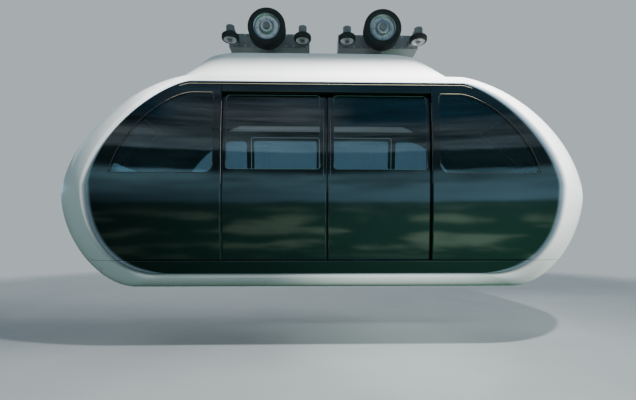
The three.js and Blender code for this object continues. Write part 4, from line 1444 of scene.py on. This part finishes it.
fairing = {"rearBase": -1.670, "frontBase": 1.508, "rearTop": -1.005, "frontTop": 0.671,
           "baseHalfWidth": 0.780, "topHalfWidth": 0.559, "baseZ": -0.585, "topZ": -0.180,
           "shoulder": 0.166, "slopeShare": 0.532, "cornerLength": 0.270, "cornerWidth": 0.120,
           "thickness": 0.036, "roofGap": 0.0004}
truckPlaces = {"front": 0.680, "rear": -0.680}
hanger = {"slotHalfLength": 0.170, "slotHalfWidth": 0.040, "slotCorner": 0.02, "capRadius": 0.030,
          "capHeight": 0.012, "capRound": 0.003, "sunk": 0.001, "slotCut": (-0.26, 0.0)}


# Rings of the fairing at shares of its slope and of its shoulder, as in its CAD solid: a straight slope,
# an elliptic arc that runs on from it, and straight sides with elliptic corners in plan
def fairingRings(slope, shoulder, inset, cornerSteps=12, sideSteps=10):
    f = fairing
    start = math.asin(1 / ((1 - f["shoulder"]) / f["slopeShare"] * (1 - f["slopeShare"]) / f["shoulder"] - 1))
    slope, shoulder = np.asarray(slope)[:, None], np.asarray(shoulder)[:, None]
    roundInwards, roundUpwards = arcShares(start, shoulder)
    inwards = f["slopeShare"] * slope + (1 - f["slopeShare"]) * roundInwards
    upwards = (1 - f["shoulder"]) * slope + f["shoulder"] * roundUpwards
    rear = f["rearBase"] + (f["rearTop"] - f["rearBase"]) * inwards + inset
    front = f["frontBase"] + (f["frontTop"] - f["frontBase"]) * inwards - inset
    halfWidth = f["baseHalfWidth"] + (f["topHalfWidth"] - f["baseHalfWidth"]) * inwards - inset
    z = f["baseZ"] + (f["topZ"] - inset - f["baseZ"]) * upwards
    corners = []
    for start, handY in ((0, 1), (90, 1), (180, -1), (270, -1)):
        turn = np.radians(start + np.linspace(0, 90, cornerSteps))[None, :]
        base = front - f["cornerLength"] if start in (0, 270) else rear + f["cornerLength"]
        x = base + f["cornerLength"] * np.cos(turn)
        y = handY * (halfWidth - f["cornerWidth"]) + f["cornerWidth"] * np.sin(turn)
        corners.append(np.stack([x, y], -1))
    t = np.linspace(0, 1, sideSteps)[None, 1:-1, None]
    ring = []
    for corner, following in zip(corners, corners[1:] + corners[:1]):
        ring += [corner, corner[:, -1:] + t * (following[:, :1] - corner[:, -1:])]
    ring = np.concatenate(ring, 1)
    return np.concatenate([ring, (z + 0 * ring[..., 0])[..., None]], -1)


def fairingForm(inset, slopeRows=12, shoulderRows=20):
    slopes = np.concatenate([np.linspace(0, 1, slopeRows), np.ones(shoulderRows)])
    shoulders = np.concatenate([np.zeros(slopeRows), np.linspace(1 / shoulderRows, 1, shoulderRows)])
    rings = fairingRings(slopes, shoulders, inset)
    centre = np.array([(fairing["rearTop"] + fairing["frontTop"]) / 2, 0, rings[-1, 0, 2]])
    cap = [rings[-1:] * share + centre * (1 - share) for share in (0.8, 0.4, 0.0)]
    return np.concatenate([rings, *cap])


def addFairing():
    outer, inner = fairingForm(0.0), fairingForm(fairing["thickness"])
    rows, columns = outer.shape[:2]
    count = rows * columns
    faces = gridFaces(rows, columns, False, True)
    index = np.arange(columns)
    following = np.roll(index, -1)
    foot = np.stack([following, index, index + count, following + count], -1)
    points = np.concatenate([outer.reshape(-1, 3), inner.reshape(-1, 3)])
    faces = np.concatenate([faces, foot, faces[:, ::-1] + count])
    cover = newPiece("roofFairing", [(points, faces, "whiteShell")], 50.0)
    x, z = edgePoint(moved(shellEdge, fairing["roofGap"]), np.linspace(0, 180, 90))
    roof = np.stack([np.concatenate([x, -x[::-1]]), np.concatenate([z, z[::-1]])], -1)
    cutWith(cover, prism(roof, 1, -1.2, 1.2))
    h = hanger
    for middle in truckPlaces.values():
        slot = rectangle(middle - h["slotHalfLength"], middle + h["slotHalfLength"], -h["slotHalfWidth"],
                         h["slotHalfWidth"])
        cutWith(cover, prism(roundCorners(slot, h["slotCorner"]), 2, *h["slotCut"]))
    smoothPiece(cover, 50.0)
    install(cover, "cabin", "roof_fairing")
    addFairingGasket()


gasket = {"halfWidth": 0.006, "rise": 0.005, "lift": 0.001}


# A rubber line where the fairing stands on the roof: the ring at the slope that meets the roof's height
def addFairingGasket():
    slopes = np.linspace(0, 0.6, 120)
    rings = fairingRings(slopes, 0 * slopes, 0.0)
    edgeX, edgeZ = edgePoint(shellEdge, np.linspace(0, 60, 400))
    roofZ = np.interp(np.abs(rings[..., 0]), np.insert(edgeX, 0, 0), np.insert(edgeZ, 0, shellEdge["topZ"]))
    above = np.argmax(rings[..., 2] > roofZ, 0)
    loop = np.take_along_axis(rings, above[None, :, None].repeat(3, -1), 0)[0]
    loop[:, 2] = np.take_along_axis(roofZ, above[None, :], 0)[0] + gasket["lift"]
    normals = np.zeros_like(loop) + (0, 0, 1.0)
    section = circleSection(gasket["halfWidth"], gasket["rise"])
    piece = newPiece("fairingGasket", [bandPart(loop, normals, section, "rubberSeal")])
    install(piece, "cabin")


# Hangers and trucks

edgeRound = 0.004
truck = {"beamTopZ": 0.300, "beamHalfWidth": 0.115, "boltX": (0.21, 0.30, 0.46), "boltZ": (0.150, 0.280),
         "armX": 0.420, "bossRadius": 0.048, "bossFootZ": 0.149, "bossTopZ": 0.223, "bossRound": 0.006,
         "axleZ": 0.220}
plate = {"nearX": 0.17, "farX": 0.36, "halfY": 0.085, "sunk": 0.004, "rise": 0.006, "round": 0.003,
         "boltX": (0.19, 0.34), "boltY": (-0.065, 0.065)}
motor = {"radius": 0.128, "start": 0.117, "reach": 0.262, "fins": 11, "finFoot": 0.009, "finRise": 0.011,
         "capWidth": 0.014, "capRadius": 0.131, "faceRadius": 0.118, "chamfer": 0.002}
# Bolt heads: radius and height, and then radius, number and first angle where they stand in a ring
bolts = {"head": (0.012, 0.008, 0.068, 8, 22.5), "motor": (0.009, 0.007, 0.100, 8, 22.5),
         "running": (0.009, 0.010, 0.111, 8), "guide": (0.005, 0.005, 0.053, 6),
         "beam": (0.010, 0.007), "plate": (0.009, 0.007), "boss": (0.019, 0.014)}
# Half profiles of [radius, along] from a wheel's middle outwards, and where its bolts stand
wheels = {
    "running": {"axis": "y", "y": 0.360, "z": 0.220, "steps": (72, 60), "tyreRound": (0.004, 50.0, 3),
                "hubRound": (0.004, 25.0, 3), "grooves": (-0.030, 0.0, 0.030), "boltFaces": (0.034, -0.034),
                "tyre": [[0.150, 0.056], [0.160, 0.062], [0.176, 0.068], [0.196, 0.070], [0.212, 0.066],
                         [0.220, 0.053]],
                "hub": [[0.0298, 0.070], [0.068, 0.070], [0.078, 0.050], [0.088, 0.034], [0.134, 0.034],
                        [0.140, 0.050], [0.153, 0.060], [0.155, 0.055], [0.150, 0.050]]},
    "guide": {"axis": "z", "y": 0.400, "z": 0.092, "steps": (56, 48), "tyreRound": (0.005, 25.0, 4),
              "hubRound": (0.002, 25.0, 3), "grooves": (), "boltFaces": (0.022,),
              "tyre": [[0.074, 0.028], [0.090, 0.031], [0.100, 0.020]],
              "hub": [[0.0168, 0.032], [0.036, 0.032], [0.042, 0.022], [0.064, 0.022], [0.076, 0.030]]},
}
groove = [[0.0, -0.0045], [-0.006, -0.0035], [-0.006, 0.0035], [0.0, 0.0045]]


def boltRing(kind, centre, axis, toward):
    radius, height, *ring = bolts[kind]
    return boltsPart((radius, height), axis, toward, ringPlaces(centre, axis, *ring))


def addHangers():
    h = hanger
    for end, x in truckPlaces.items():
        node = f"hanger_{end}"
        piece = dressedCopy(node, f"hanger{end.capitalize()}", "truckPaint", edgeRound)
        install(piece, "cabin", node)
        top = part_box(node)[1][2]
        cap = postPart(h["capRadius"], 0, h["capHeight"], (x, 0, top - h["sunk"]), "bareSteel", h["capRound"])
        ring = boltRing("head", (x, 0, top), "z", 1)
        install(newPiece(f"hangerBolts{end.capitalize()}", [ring, cap]), "cabin")


# Cooling fins on the motor: a turned profile that rises and falls along the axis
def motorPart(x, toLeft):
    m = motor
    stop = m["reach"] - m["capWidth"]
    face = m["reach"] + m["chamfer"]
    along = np.linspace(m["start"], stop, m["fins"] * 4 + 1)
    wave = np.append(np.tile([0.0, 1.0, 1.0, 0.0], m["fins"]), 0.0)
    radius = m["radius"] - m["finFoot"] + m["finRise"] * wave
    ends = [[m["radius"], stop], [m["capRadius"], stop + m["chamfer"]], [m["capRadius"], m["reach"]],
            [m["faceRadius"], face], [0.0, face]]
    profile = np.concatenate([[[0.0, m["start"]]], np.stack([radius, along], -1), ends]) * (1, toLeft)
    return turnedPart(profile, (x, 0, truck["axleZ"]), "y", "truckPaint", 56)


# What one truck carries: motors, bolts, the bosses of the guide wheels and two plates
def truckDetails(x):
    t, p = truck, plate
    details = []
    for toLeft in (1, -1):
        face = (x, toLeft * (motor["reach"] + motor["chamfer"]), t["axleZ"])
        details += [motorPart(x, toLeft), boltRing("motor", face, "y", toLeft)]
        for toFront in (1, -1):
            places = [[x + toFront * px, toLeft * t["beamHalfWidth"], pz]
                      for px in t["boltX"] for pz in t["boltZ"]]
            arm = np.array([x + toFront * t["armX"], toLeft * wheels["guide"]["y"], 0])
            details += [boltsPart(bolts["beam"], "y", toLeft, places),
                        postPart(t["bossRadius"], t["bossFootZ"], t["bossTopZ"], arm, "truckPaint",
                                 t["bossRound"], 32),
                        boltsPart(bolts["boss"], "z", 1, arm + (0, 0, t["bossTopZ"]))]
    for toFront in (1, -1):
        near, far = np.sort([x + toFront * p["nearX"], x + toFront * p["farX"]])
        top = t["beamTopZ"] + p["rise"]
        places = [[x + toFront * px, py, top] for px in p["boltX"] for py in p["boltY"]]
        low = (near, -p["halfY"], t["beamTopZ"] - p["sunk"])
        details += [boxPart(low, (far, p["halfY"], top), p["round"], "truckPaint"),
                    boltsPart(bolts["plate"], "z", 1, places)]
    return details


def addTruckFrames():
    for end, x in truckPlaces.items():
        node, title = f"truck_frame_{end}", end.capitalize()
        piece = dressedCopy(node, f"truckFrame{title}", "truckPaint", edgeRound)
        install(piece, f"truck_{end}", node)
        install(newPiece(f"truckDetails{title}", truckDetails(x)), f"truck_{end}")


# A tyre, grooved where it runs, on a dished hub with rings of bolts
def wheelParts(kind, x, toLeft):
    w = wheels[kind]
    centre = (x, toLeft * w["y"], w["z"])
    flank, dish = np.array(w["tyre"]), np.array(w["hub"])
    tread = [np.add(groove, (flank[-1, 0], across)) for across in w["grooves"]]
    tyre = roundCorners(np.concatenate([flank * (1, -1), *tread, flank[::-1]]), *w["tyreRound"])
    hub = roundCorners(np.concatenate([dish * (1, -1), dish[::-1]]), *w["hubRound"])
    parts = [turnedPart(tyre, centre, w["axis"], "tyreRubber", w["steps"][0]),
             turnedPart(hub, centre, w["axis"], "bareSteel", w["steps"][1])]
    for along in w["boltFaces"]:
        face = centre + onAxis(w["axis"], along, 0.0, 0.0)
        parts.append(boltRing(kind, face, w["axis"], math.copysign(1, along)))
    return parts


def addWheels():
    for end, x in truckPlaces.items():
        for hand, toLeft in (("left", 1), ("right", -1)):
            tail = f"{end}_{hand}"
            title = end.capitalize() + hand.capitalize()
            running = newPiece(f"runningWheel{title}", wheelParts("running", x, toLeft))
            install(running, f"wheel_{tail}", f"running_wheel_{tail}")
            for letter, arm in (("a", truck["armX"]), ("b", -truck["armX"])):
                roller = newPiece(f"guideWheel{title}{letter.upper()}", wheelParts("guide", x + arm, toLeft))
                install(roller, f"guide_{tail}_{letter}", f"guide_wheel_{tail}_{letter}")


addCamera()
addSurround()
addLamps()
addStage()
addFlags()
print("camera, lights and floor made")

addArches()
addBelly()
turnAtRoofEnd = addRoofPanel()
addNoses(turnAtRoofEnd)
addFairing()
print("white shell made")

addSidePanels()
addHeaderAndSkirt()
addDoorTrack()
addTrims()
addDoors()
print("black sides and doors made")

addDeck()
addCove()
addBenches()
addCushions()
print("cabin made")

addHangers()
addTruckFrames()
addWheels()
print("trucks made")

leftOver = [name for name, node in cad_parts.items() if not node.hide_render]
print("nodes still shown:", leftOver)
